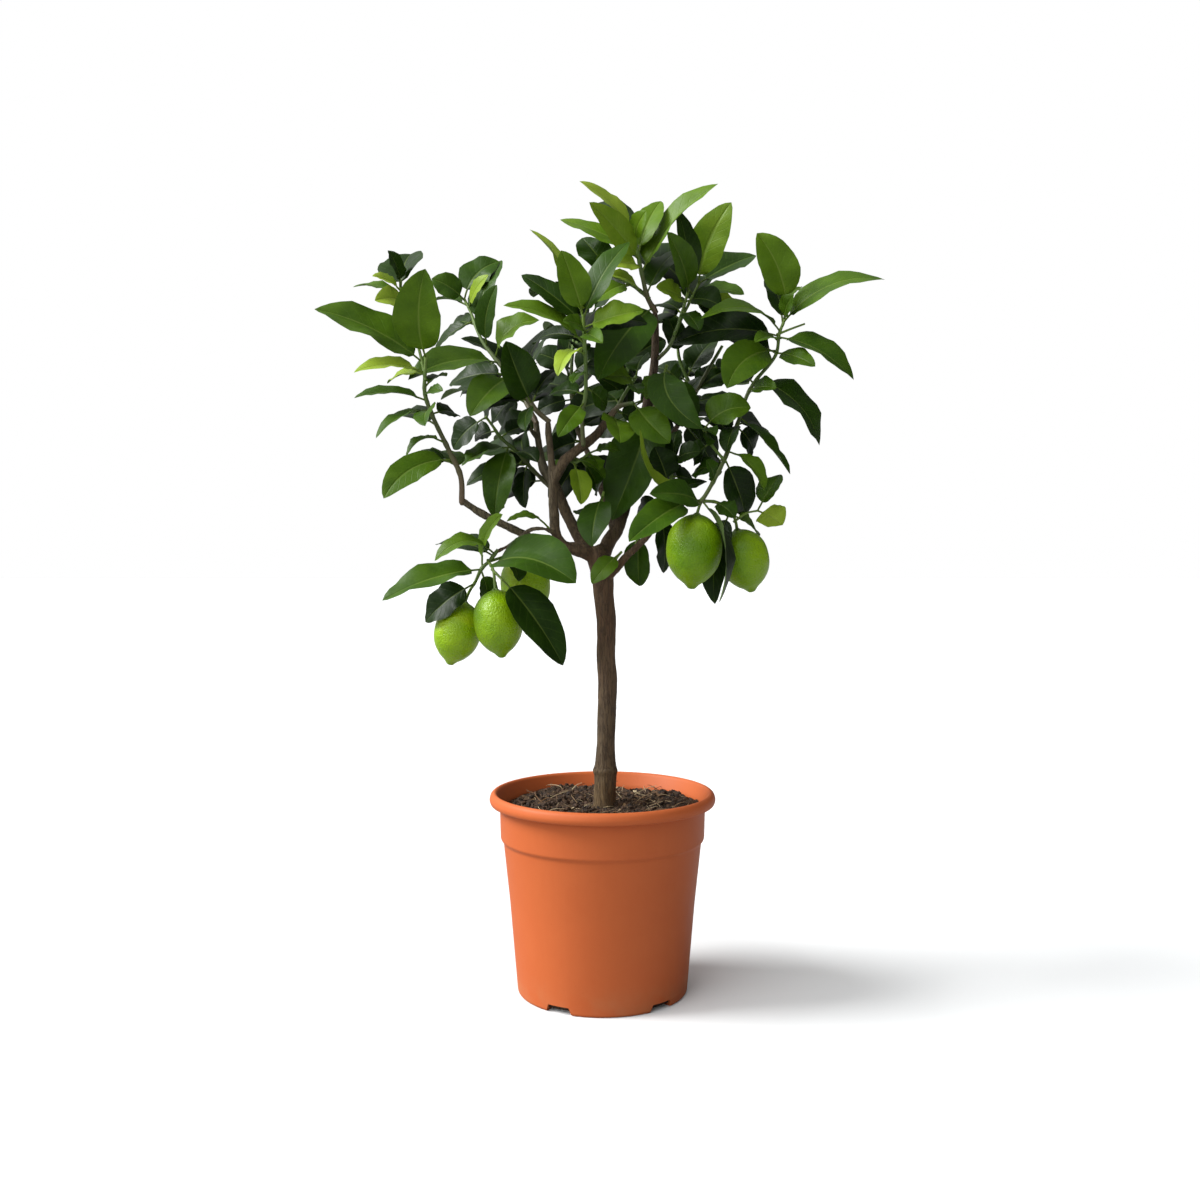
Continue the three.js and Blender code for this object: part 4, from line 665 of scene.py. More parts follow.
             (101, 446, -25.9, 3.4), (108, 464, -15, 3.4), (114, 482, -7.2, 3.2), (120, 500, -2.4, 3.2),
             (128, 513, .1, 3), (143, 532, 4.2, 2.8), (146, 550, 9, 2.6), (150, 561, 13, 2.2),
             (152, 576, 18, 1.8)),
            ((82, 412, -49, 2.6), (80, 406, -49, 2.4), (78.8, 401.5, -49, 2.8)),
            ((82, 412, -49, 2.8), (95, 411, -39, 2.6), (106, 405, -27, 2.4), (110.5, 396, -18, 2.4),
             (112, 388.5, -13, 2.8)),
            ((101, 446, -25.9, 2.8), (91, 458, -18.7, 2.6), (84, 471, -13.2, 2.2)),
            ((146, 550, 9, 2), (156, 554, 13.1, 1.8), (167, 558, 16.2, 1.6)),
            ((111, 396, -17, 2.2), (120, 402, -14, 1.8), (129, 404, -12, 1.6)),
        ),
        leaves=(
            (152, 573, 127, 632, -6, 31, .95, .05, .6, .07), (148, 558, 136, 597, 16, 17, .7, .08, .25),
            (151, 558, 233, 594, -4, 19, .5, .17, .5), (146, 552, 81, 562, -10, 13, .28, .2, .55),
            (145, 548, 58, 541, 14, 22, .7, .14, .2), (144, 536, 103, 505, -24, 33, .92, .06, .5, .12),
            (146, 547, 208, 512, -10, 19, .5, .12, .45, .03), (143, 534, 176, 523, -20, 15, .75, .08, .5),
            (143, 544, 126, 543, -24, 9, .5, .1, .5), (121, 504, 144, 505, -14, 13, .7, .1, .45),
            (128, 512, 180, 458, 2, 20, .5, .16, .3), (84, 471, 123, 489, 6, 26, .75, .12, .5, -.1),
            (115, 481, 156, 434, -4, 11, .35, .04, .35), (108, 478, 103, 452, -16, 15, .8, .08, .25),
            (110, 474, 125, 454, 10, 22, .8, .1, .15), (104, 453, 134, 421, -14, 14, .5, .14, .55),
            (102, 447, 119, 400, 6, 28, .92, .06, .2), (92, 428, 86, 446, -8, 11, .6, .1, .4),
            (84, 412, 31, 472, -14, 13, .35, -.2, .8, -.1), (81, 411, 39, 418, -10, 20, .8, .1, .4),
            (70, 411, 22, 378, -12, 21, .85, .06, .45), (83, 412, 97, 327, -14, 14, .25, .14, .15),
            (107, 404, 94, 326, -16, 24, .85, .08, .2, .04), (109, 400, 129, 383, 14, 7, .4, .08, .5),
            (92, 411, 110, 398, -6, 13, .6, .1, .35), (84, 470, 94, 466, -16, 8, .6, .1, .4),
            (85, 469, 87, 458, -14, 8, .6, .1, .4), (95, 440, 76, 436, 14, 16, .7, .1, .3),
            (89, 460, 76, 444, 12, 16, .7, .1, .3), (132, 404, 147, 434, 6, 17, .7, .1, .45, .08),
            (129, 404, 150, 392, -8, 25, .8, .06, .85), (113, 482, 96, 496, 14, 18, .7, .1, .3),
            (153, 575, 164, 588, 8, 7, .5, .1, .55), (150, 562, 158, 582, 12, 13, .7, .1, .5),
        ),
    ),
    "leaf_right_low": ShootPlan(
        fill=0,
        stems=(
            ((28, 377.5, -19, 2.2), (30, 383, -16, 2), (31.5, 388, -14, 1.8)),
        ),
        leaves=(
            (31, 387, 31, 341, 4, 22, .9, .06, .4),
        ),
    ),
    "shoot_left_fruit": ShootPlan(
        fill=1,
        stems=(
            ((-88.6, 369.6, -46, 3), (-95, 361.5, -47, 3), (-101, 355.5, -48, 3), (-106, 345, -44, 2.6),
             (-111, 337, -39, 2.4), (-115, 328, -36, 2.8)),
            ((-95, 361.5, -47, 2.4), (-91, 354, -55, 2.4), (-89.5, 338.5, -60, 3)),
            ((-94, 362, -47, 2.6), (-82, 366, -34, 2.4), (-72, 372, -20, 2.4), (-66.5, 369, -12.4, 2.8)),
            ((-91, 354, -55, 2.4), (-83, 346, -64, 2)),
        ),
        leaves=(
            (-93, 358, -22, 343.5, -26, 33, .6, .17, .4),
            (-82, 346, -33, 274.5, -6, 34, .9, .06, .25, -.01),
            (-101, 357, -83, 401, -10, 8, .35, .08, .6, -.15), (-90, 368, -140, 362, -10, 13, .4, .28, .55),
            (-101, 355, -184, 329, -14, 21, .6, .07, .45), (-107, 343, -148, 311, 14, 25, .85, .1, .2),
            (-100, 354, -97, 328, 8, 15, .8, .1, .4), (-80, 367, -70, 345, 16, 16, .7, .1, .35),
        ),
    ),
    "leaf_arch": ShootPlan(
        fill=0,
        stems=(
            ((-44, 388.4, -22.5, 1.8), (-46, 391, -23, 1.6)),
        ),
        leaves=(
            (-45.6, 390.5, -80, 395, -6, 8, .35, .22, .55),
        ),
    ),
    "shoot_low_right": ShootPlan(
        fill=5,
        stems=(
            ((46, 398.5, -31, 3.4), (50, 412, -20, 3.2), (56, 428, -12, 2.8), (60, 446, -8, 2.4)),
        ),
        leaves=(
            (55, 425, 43, 457, 8, 25, .9, .06, .2), (60, 446, 82, 453, -10, 16, .7, .1, .3),
            (57, 432, 76, 428, 10, 18, .7, .1, .25), (48, 404, 51, 352, -2, 15, .75, .06, .2),
            (60, 446, 62, 470, 8, 18, .8, .1, .25),
        ),
    ),
    "shoot_back_centre": ShootPlan(
        fill=5,
        stems=(
            ((31.5, 464, 23.2, 4), (28, 480, 40, 3.6), (22, 502, 52, 3.2), (18, 530, 58, 2.6),
             (20, 558, 58, 2.2)),
        ),
        leaves=(
            (27, 484, -4, 466, 6, 22, .8, .1, .2), (25, 492, 64, 500, 4, 22, .8, .1, .25),
            (20, 512, -14, 524, 6, 22, .8, .1, .2), (19, 524, 52, 545, 8, 20, .8, .1, .25),
            (20, 545, -8, 566, 6, 20, .7, .1, .25), (23, 500, 8, 536, -10, 18, .8, .1, .2),
            (31, 466, 60, 430, 6, 24, .85, .1, .15), (31, 466, 12, 432, 8, 22, .85, .1, .15),
        ),
    ),
    "shoot_back_outer": ShootPlan(
        fill=7,
        stems=(
            ((-55.5, 478, 46.6, 4.4), (-66, 498, 65.1, 3.6), (-84, 525, 86.6, 2.6)),
        ),
        leaves=(
        ),
    ),
    "shoot_back_left": ShootPlan(
        fill=8,
        stems=(
            ((-10.5, 448, 71.6, 4.4), (-22, 476, 87.1, 3.8), (-26, 510, 98.7, 3.2), (-24, 545, 104.3, 2.4)),
        ),
        leaves=(
            (-12, 452, -42, 408, 4, 25, .85, .1, .15), (-12, 453, 12, 412, 4, 24, .85, .1, .15),
            (-16, 462, -46, 450, 6, 22, .85, .1, .2), (-24, 496, -54, 486, 4, 20, .8, .1, .2),
            (-25, 516, 2, 534, 4, 20, .8, .1, .25), (-25, 520, -56, 534, 4, 20, .8, .1, .2),
        ),
    ),
    "shoot_back_right": ShootPlan(
        fill=6,
        stems=(
            ((62.8, 475.4, 71.5, 4), (76, 500, 85.4, 3.6), (92, 528, 93.3, 3), (99, 540, 94.8, 2.4)),
            ((76, 500, 85.4, 3), (64, 528, 87.3, 2.6), (62, 544, 87.7, 2.2)),
        ),
        leaves=(
            (76, 500, 104, 520, 6, 22, .8, .1, .25), (70, 514, 94, 546, 6, 22, .8, .1, .25),
            (64, 530, 52, 566, -8, 18, .8, .1, .25), (72, 508, 44, 522, 4, 20, .7, .1, .2),
            (64, 478, 92, 440, 6, 25, .85, .1, .15), (65, 480, 50, 440, 6, 22, .85, .1, .15),
        ),
    ),
}


# ---------------------------------------- where things grow
def true_scale(y: float) -> float:
    """How many times its reading in the upright plane through the trunk a size at depth y is."""
    return (y - EYE[1]) / -EYE[1]


def sight(x: float, z: float, y: float) -> Array:
    """A point read at x, z in the upright plane through the trunk, moved to depth y on its line of sight."""
    k = true_scale(y)
    return np.array([EYE[0] + (x - EYE[0]) * k, y, EYE[2] + (z - EYE[2]) * k])


def limb(readings: Points) -> Array:
    """Rows of x, y, z, diameter in millimetres, from rows of x, z, depth, diameter."""
    return np.array([[*sight(x, z, y), d * true_scale(y)] for x, z, y, d in readings])


def unit(a: Array) -> Array:
    """A vector of length 1."""
    return a / (np.linalg.norm(a) or 1.0)


class Chance:
    """Seeded random numbers from 0 to 1, the same as in the part's source."""

    MASK = 0xFFFFFFFF

    def __init__(self, seed: float) -> None:
        """Starts from a whole number."""
        self.state = int(seed) & self.MASK

    def __call__(self) -> float:
        """The next number."""
        self.state = (self.state + 0x6D2B79F5) & self.MASK
        t = ((self.state ^ (self.state >> 15)) * (1 | self.state)) & self.MASK
        t = ((t + (t ^ (t >> 7)) * (61 | t)) & self.MASK) ^ t
        return (t ^ (t >> 14)) / 4294967296

    def child(self) -> "Chance":
        """A new series started from the next number."""
        return Chance(math.floor(self() * 1e9))


@dataclass
class Leaf:
    """One leaf on its stem, in millimetres: a bent line from base to tip with a blade across it.

    Args:
        base: Where it leaves its stem.
        tip: Its tip.
        width: Its greatest width.
        face: The share of its upper side that the front shows.
        arch: How far it bows towards its upper side, as a share of its length.
        sweep: How far it bows sideways.
        chance: The random numbers for its own small differences.
        tone: From 0, deep green, to 1, lime.
        bend: The middle corner of its bent line.
        normal: The way its upper side faces.
        length: From base to tip.
        habit: Its fold, and the wave's height, beats, phase and twist.
    """

    base: Array
    tip: Array
    width: float
    face: float
    arch: float
    sweep: float
    chance: Chance
    tone: float = 0.3
    bend: Array = field(init=False)
    normal: Array = field(init=False)
    length: float = field(init=False)
    habit: tuple[float, ...] = field(init=False)

    def __post_init__(self) -> None:
        """Works out which way the blade faces, its bend and its own small differences."""
        chord = self.tip - self.base
        self.length = float(np.linalg.norm(chord))
        run, middle = unit(chord), self.base * 0.5 + self.tip * 0.5
        look = unit(EYE - middle)
        flat = unit(look - run * (look @ run))
        across = np.cross(run, flat)
        lean = math.sqrt(1 - self.face**2) * (1 if across[2] >= 0 else -1)
        self.normal = unit(flat * self.face + across * lean)
        side = np.cross(run, self.normal)
        self.bend = middle + (self.normal * self.arch + side * self.sweep) * 2 * self.length
        c = self.chance
        self.habit = (0.16 + 0.24 * c(), 0.05 + 0.1 * c(), 1.2 + 1.2 * c(), TURN * c(), 0.5 * (c() - 0.5))


class Growth:
    """Grows each shoot's leaves by the rule of the part's source.

    Which of a leaf's possible places was clear is read from the frame: the solid of the shoot has a corner at
    the tip of every leaf it carries.
    """

    SHIFTS = (0, 12, -12, 24, -24, 38, -38, 52)  # how much deeper a tip may lie to be clear of the rest
    TIP_REACH = 0.3  # from a leaf's tip to the corner that stands for it
    LEAST_FACE = 0.55  # a blade seen more edge-on than this is widened as if it were this
    LEAST_WIDTH = 0.37  # as a share of a leaf's length

    def __init__(self, name: str, plan: ShootPlan, number: int) -> None:
        """Reads the corners of the shoot's solid.

        Args:
            name: The shoot's node.
            plan: Its stems and leaves.
            number: Its place in the table, which seeds it.
        """
        self.plan, self.number = plan, number
        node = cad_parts[name]
        self.corners = np.array([node.matrix_world @ v.co for v in node.data.vertices]) / MM
        self.stems = [limb(path) for path in plan.stems]

    def found(self, leaf: Leaf) -> bool:
        """Whether the solid has this leaf's tip."""
        return float(np.min(np.linalg.norm(self.corners - leaf.tip, axis=1))) < self.TIP_REACH

    def nearest(self, x: float, z: float) -> tuple[float, float, float]:
        """The point of the stems nearest to x, z as seen from the front: its x, z and depth."""
        best, at = math.inf, (x, z, 0.0)
        for path in self.plan.stems:
            for a, b in zip(path, path[1:]):
                dx, dz = b[0] - a[0], b[1] - a[1]
                t = min(max(((x - a[0]) * dx + (z - a[1]) * dz) / (dx * dx + dz * dz), 0.0), 1.0)
                off = math.hypot(x - a[0] - dx * t, z - a[1] - dz * t)
                if off < best - 1e-9:
                    best, at = off, (a[0] + dx * t, a[1] + dz * t, a[2] + (b[2] - a[2]) * t)
        return at

    def seen(self) -> list[Leaf]:
        """The leaves that the front shows."""
        leaves, chance = [], Chance(100 + self.number)
        for bx, bz, tx, tz, gain, width, face, arch, tone, *sweep in self.plan.leaves:
            x, z, y = self.nearest(bx, bz)
            deep = y + gain * SPREAD
            own = chance.child()
            for shift in self.SHIFTS:
                base, tip = sight(x, z, y), sight(tx, tz, deep + shift)
                read = width * true_scale(deep) / max(face, self.LEAST_FACE)
                wide = max(read, self.LEAST_WIDTH * np.linalg.norm(tip - base))
                bow = sweep[0] if sweep else 0.0
                leaf = Leaf(base, tip, wide, face, arch, bow, own.child(), tone)
                if self.found(leaf):
                    leaves.append(leaf)
                    break
        return leaves

    def unseen(self) -> list[Leaf]:
        """The leaves behind those, which sit on their stems by a spiral."""
        leaves, chance = [], Chance(500 + self.number)
        for path in self.stems:
            carried, angle = 4.0, TURN * chance()
            for a, b in zip(path[:, :3], path[1:, :3]):
                run = float(np.linalg.norm(b - a))
                ahead = unit(b - a)
                e1 = unit(np.cross(ahead, (0.3, 0.1, 1)))
                e2 = np.cross(ahead, e1)
                while carried < run:
                    angle += FILL_TURN
                    base = a + (b - a) * (carried / run)
                    for length in FILL_LENGTHS:
                        if len(leaves) >= self.plan.fill:
                            break
                        rise = 0.15 + 0.55 * chance()
                        out = e1 * math.cos(angle) + e2 * math.sin(angle)
                        to = unit(out + ahead * rise + np.array([0, 0.35, -0.1 * chance()]))
                        reach = length * (0.85 + 0.3 * chance())
                        wide = reach * (0.38 + 0.08 * chance())
                        face, arch = 0.3 + 0.5 * chance(), 0.08 + 0.1 * chance()
                        tip, own = base + to * reach, chance.child()
                        leaf = Leaf(base, tip, wide, face, arch, 0.0, own, self.plan.hidden)
                        if self.found(leaf):
                            leaves.append(leaf)
                            break
                    carried += FILL_STEP
                carried -= run
        return leaves


# ---------------------------------------- finishes
class Finish:
    """A material that is written as sums on a Principled shader."""

    name: str = "finish"

    def build(self) -> bpy.types.Material:
        """Makes the material."""
        material = bpy.data.materials.new(self.name)
        material.use_nodes = True
        graph = Graph(material.node_tree)
        where = graph.node("ShaderNodeTexCoord", None, "Object")
        surface = self.surface(graph, where)
        graph.node("ShaderNodeOutputMaterial", {"Surface": surface})
        return material

    def surface(self, g: Graph, where: Flow) -> Flow:
        """The shader of the finish.

        Args:
            g: The material's tree.
            where: The place on the piece, in metres.

        Returns:
            The shader's output.
        """
        raise NotImplementedError


@dataclass(frozen=True)
class TerracottaPlastic(Finish):
    """Moulded plastic in the colour of fired clay, with faint streaks, a dusty foot and fine grain."""

    name: str = "terracotta_plastic"
    body: str = "c06032"
    pale: str = "c66838"
    dusty: str = "b47f58"
    speck: str = "8e4824"
    roughness: float = 0.46

    def surface(self, g: Graph, where: Flow) -> Flow:
        """See Finish."""
        _, _, z = where.parts()
        streaks = g.noise(where * (1.0, 1.0, 0.08), 240.0, 3.0)
        clouds = g.noise(where, 34.0, 3.0)
        specks = g.smooth(g.noise(where, 900.0, 2.0), 0.66, 0.8)
        colour = g.mix(self.body, self.pale, g.clamp(streaks * 0.4 + clouds * 0.8 - 0.3))
        dust = g.smooth(z, 0.03, 0.0) * g.smooth(clouds, 0.35, 0.7) * 0.35
        colour = g.mix(g.mix(colour, self.dusty, dust), self.speck, specks * 0.25)
        grain = g.noise(where, 1500.0, 3.0)
        normal = g.bump(grain * 0.6 + streaks * 0.3, 0.00006)
        return g.principled(colour, self.roughness + streaks * 0.1 + specks * 0.15, normal, 0.22)


@dataclass(frozen=True)
class DampCompost(Finish):
    """Dark peat compost."""

    name: str = "damp_compost"
    deep: str = "1b120a"
    light: str = "5e442b"
    grit: str = "b89c74"

    def surface(self, g: Graph, where: Flow) -> Flow:
        """See Finish."""
        crumbs = g.noise(where, 380.0, 6.0, 0.7)
        clods = g.noise(where, 150.0, 3.0)
        grit = g.smooth(g.noise(where, 900.0, 2.0), 0.62, 0.7)
        colour = g.mix(self.deep, self.light, g.clamp(crumbs * 1.5 + clods - 0.85))
        colour = g.mix(colour, self.grit, grit * 0.7)
        return g.principled(colour, 0.9, g.bump(crumbs + clods * 0.5, 0.0022))


@dataclass(frozen=True)
class Litter(Finish):
    """Bits on the compost, from dark crumb to straw; each bit has its own shade."""

    name: str = "compost_litter"
    dirt: str = "1a110b"

    def surface(self, g: Graph, where: Flow) -> Flow:
        """See Finish."""
        stops = {0.0: "1c120a", 0.35: "4c3420", 0.7: "8c6844", 1.0: "dcc8a0"}
        colour = g.ramp(g.attribute("shade", "Fac"), stops)
        colour = g.mix(colour, self.dirt, g.noise(where, 900.0, 3.0) * 0.5)
        return g.principled(colour, 0.85, g.bump(g.noise(where, 1800.0, 3.0), 0.0004))


@dataclass(frozen=True)
class YoungBark(Finish):
    """Grey-brown bark with fine lengthwise fissures, redder above and olive at the foot; paler on the upper
    left branches, which is painted light on the side the lamp comes from, and darker on the upper right
    branches, which is painted shade.
    """

    name: str = "young_bark"
    body: str = "51402b"
    grey: str = "726248"
    red: str = "6b4630"
    foot: str = "66502f"
    # left: paler grey for the upper left branches, painted light on the side the lamp comes from.
    left: str = "77705a"
    # right: darker brown for the upper right branches, painted shade on the side away from the lamp.
    right: str = "4b3a2c"
    fibre: str = "c0ad8c"
    crack: str = "3d2c20"
    ring: str = "2b1d15"
    ring_height: float = 0.1885

    def surface(self, g: Graph, where: Flow) -> Flow:
        """See Finish."""
        x, _, z = where.parts()
        long = where * (1.0, 1.0, 0.09)
        fibres = g.noise(long, 900.0, 5.0, 0.65)
        plates = g.noise(long, 260.0, 4.0)
        patches = g.noise(where, 60.0, 3.0)
        cracks = g.smooth(abs(g.noise(where * (1.0, 1.0, 0.12), 420.0, 4.0, 0.65) - 0.5), 0.05, 0.0)
        off_ring = abs(z - self.ring_height + (patches - 0.5) * 0.006)
        ring = g.smooth(off_ring, 0.0016, 0.0004) * g.smooth(patches, 0.4, 0.55)
        colour = g.mix(self.body, self.grey, g.clamp(plates * 1.7 - 0.55))
        for coat, share in (
            (self.red, g.smooth(z, 0.20, 0.33) * g.smooth(z, 0.40, 0.35) * patches * 0.8),
            (self.foot, g.smooth(z, 0.20, 0.17) * 0.8),
            # Painted light: the upper left branches are made paler.
            (self.left, g.smooth(x, -0.034, -0.05) * g.smooth(z, 0.37, 0.39) * 0.6),
            # Painted shade: the upper right branches are made darker.
            (self.right, g.smooth(x, -0.012, 0.02) * g.smooth(z, 0.38, 0.42) * 0.6),
            (self.crack, cracks * 0.4),
            (self.fibre, g.smooth(fibres, 0.62, 0.8) * 0.35),
            (self.ring, ring * 0.8),
        ):
            colour = g.mix(colour, coat, share)
        normal = g.bump(fibres * 0.5 + plates * 0.8 - cracks * 0.7 - ring, 0.0007)
        return g.principled(colour, 0.72 + fibres * 0.15, normal)


@dataclass(frozen=True)
class Peel(Finish):
    """Dimpled waxy lemon peel, green turning yellow."""

    name: str = "peel"
    ripe: float = 0.4
    end: str = "44660f"
    pit: str = "476a0a"

    def surface(self, g: Graph, where: Flow) -> Flow:
        """See Finish."""
        along = g.attribute("along", "Fac")
        pores = g.cells(where, 620.0)
        blush = g.noise(where, 26.0, 2.0)
        patches = g.noise(where, 120.0, 3.0)
        turn = g.clamp(blush * 1.1 - 0.25 + self.ripe * 0.7 + patches * 0.15)
        colour = g.ramp(turn, {0.0: "3f6402", 0.4: "648e02", 0.75: "8fb406", 1.0: "bcc820"})
        ends = g.smooth(along, 0.16, 0.0) + g.smooth(along, 0.9, 1.0) * 0.5
        colour = g.mix(colour, self.end, ends * 0.7)
        colour = g.mix(colour, self.pit, g.smooth(pores, 0.3, 0.0) * 0.1)
        normal = g.bump(g.smooth(pores, -0.1, 0.7) * 0.6 + patches * 2.4, 0.0006, 0.9)
        return g.principled(colour, 0.3 + pores * 0.1, normal, 0.38)


@dataclass(frozen=True)
class LeafFinish(Finish):
    """A citrus leaf: glossy above with a pale midrib and faint side veins, paler and matt below.

    Light comes through it too, the more the paler it is.
    """

    name: str = "leaf"
    vein: str = "7f9a45"
    rib: str = "8da24c"
    foot: str = "7d9440"
    underside: str = "7f9a5a"
    glow: str = "97c435"
    veins: float = 8.5
    through: float = 0.22

    def surface(self, g: Graph, where: Flow) -> Flow:
        """See Finish."""
        along, across, side = g.attribute("blade").parts()
        tone = g.attribute("tone", "Fac")
        off = abs(across)
        clouds = g.noise(where, 55.0, 3.0)
        fine = g.noise(where, 420.0, 3.0)
        stops = {0.0: "071301", 0.2: "182f04", 0.42: "37580c", 0.62: "618318", 0.82: "93ae30", 1.0: "aec648"}
        pale = g.clamp(tone + (clouds - 0.5) * 0.22)
        colour = g.ramp(pale, stops)
        wave = g.maths("FRACT", along * self.veins - off * 1.9)
        line = g.smooth(abs(wave - 0.5), 0.09, 0.0) * g.smooth(off, 0.98, 0.75) * g.smooth(off, 0.02, 0.08)
        rib = g.smooth(off, 0.075 - along * 0.05, 0.02)
        below = g.smooth(side, 0.05, -0.05)
        colour = g.mix(colour, self.vein, line * 0.06)
        colour = g.mix(colour, self.rib, rib * (0.22 + tone * 0.3))
        colour = g.mix(colour, self.foot, g.smooth(along, 0.02, -0.02) * 0.7)
        colour = g.mix(colour, self.underside, below * 0.55)
        height = g.smooth(off, 0.0, 0.16) * 0.8 - line * 0.15 + fine * 0.1 + clouds * 1.4
        normal = g.bump(height, 0.0005, 0.9)
        passed = g.clamp(pale * 1.08 - 0.07) * self.through
        held = (1.0 - self.through) / (1.0 - passed)
        gloss = g.principled(g.mix("000000", colour, held), 0.37 + fine * 0.1 + below * 0.3, normal, 0.16)
        lit = g.node("ShaderNodeBsdfTranslucent", {"Color": self.glow, "Normal": normal})
        return g.node("ShaderNodeMixShader", {0: passed, 1: gloss, 2: lit})


@dataclass(frozen=True)
class GreenStem(Finish):
    """A green shoot, pale where it is young and brown where it is old."""

    name: str = "green_stem"

    def surface(self, g: Graph, where: Flow) -> Flow:
        """See Finish."""
        age = g.attribute("age", "Fac")
        fibres = g.noise(where * (1.0, 1.0, 0.15), 700.0, 4.0)
        stops = {0.0: "6f8a36", 0.3: "56702e", 0.6: "5a5f3a", 1.0: "66543f"}
        colour = g.ramp(g.clamp(age + (fibres - 0.5) * 0.4), stops)
        return g.principled(colour, 0.55, g.bump(fibres, 0.0003))


# ---------------------------------------- sub-assemblies
def rounded(outline: Iterable[tuple[float, float, float]], steps: int = 4) -> list[tuple[float, float]]:
    """Rounds the corners of an open outline.

    Args:
        outline: Rows of radius, height and how far from the corner its rounding starts.
        steps: Points in each rounding, less one.

    Returns:
        Rows of radius and height.
    """
    rows, line = [np.array(p, dtype=float) for p in outline], []
    for i, row in enumerate(rows):
        at, reach = row[:2], row[2]
        if reach == 0 or i in (0, len(rows) - 1):
            line.append(tuple(at))
            continue
        before, after = unit(rows[i - 1][:2] - at) * reach, unit(rows[i + 1][:2] - at) * reach
        for t in np.linspace(0, 1, steps + 1):
            line.append(tuple((at + before) * (1 - t) ** 2 + at * 2 * t * (1 - t) + (at + after) * t**2))
    return line


def turned(name: str, outline: list[tuple[float, float]], sides: int) -> bpy.types.Object:
    """A closed body turned about the upright axis: its outline, in millimetres, starts and ends there."""
    angles = np.linspace(0, 2 * math.pi, sides, endpoint=False)
    points = [(0, 0, outline[0][1]), (0, 0, outline[-1][1])]
    for r, z in outline[1:-1]:
        points += [(r * math.cos(a), r * math.sin(a), z) for a in angles]
    return make(name, np.array(points) * MM, closed_faces(len(outline) - 2, sides))


@dataclass
class Pot:
    """The nursery pot: rolled rim, straight collar, tapering wall and drain notches at its foot.

    Args:
        outline: Radius, height and rounding of each corner, from the middle of the foot round to the floor.
        sides: Faces round it.
        notches: How many drain notches.
        notch_top: Their height.
        notch_reach: The nearest and farthest radius that they cut.
        first_notch: Where the first is, in degrees from the front.
    """

    outline: Points = (
        (0, 0, 0), (70.4, 0, 1.0), (71.6, 1.8, 0.8), (77.7, 75.6, 2), (83.1, 127.4, 1.6), (85.5, 130.4, 1.4),
        (86.2, 158.4, 0.8), (93.6, 159.2, 1.2), (95, 162.6, 1.8), (93.8, 167.4, 1.9), (90.6, 169.4, 1.5),
        (88.3, 167.6, 1.2), (83.5, 157, 2), (81.2, 128, 2), (69, 2.6, 1), (0, 2.6, 0),
    )
    sides: int = 144
    notches: int = 5
    notch_top: float = 6.5
    notch_reach: tuple[float, float] = (57, 78)
    first_notch: float = -30.0

    def cutters(self) -> bpy.types.Object:
        """The blocks that cut the notches through wall and floor, wider at the foot than above."""
        points, faces = [], []
        near, far = self.notch_reach
        for k in range(self.notches):
            a = math.radians(-90 + self.first_notch + 360 / self.notches * k)
            for z, half in ((-1.0, 12.4), (self.notch_top, 9.6)):
                for r, b in ((near, -half), (far, -half), (far, half), (near, half)):
                    points.append((r * math.cos(a) - b * math.sin(a), r * math.sin(a) + b * math.cos(a), z))
            faces += [tuple(8 * k + i for i in f) for f in rings_to_faces(2, 4)]
            faces += [(8 * k + 3, 8 * k + 2, 8 * k + 1, 8 * k), (8 * k + 4, 8 * k + 5, 8 * k + 6, 8 * k + 7)]
        block = make("notch_blocks", np.array(points) * MM, faces)
        shade(block, 1.0)
        return block

    def build(self) -> bpy.types.Object:
        """Turns the pot, cuts the notches and dresses it."""
        pot = turned("pot_body", rounded(self.outline), self.sides)
        shade(pot)
        cutters = self.cutters()
        cut = pot.modifiers.new("notches", "BOOLEAN")
        cut.operation, cut.object, cut.solver = "DIFFERENCE", cutters, "EXACT"
        settle(pot)
        drop(cutters)
        shade(pot, 32.0)
        pot.data.materials.clear()
        pot.data.materials.append(TerracottaPlastic().build())
        return place(pot, "pot_plastic", "pot")


class Bit(Enum):
    """What lies on the compost."""

    CRUMB = "crumbs"
    CHIP = "chips"
    FIBRE = "fibres"


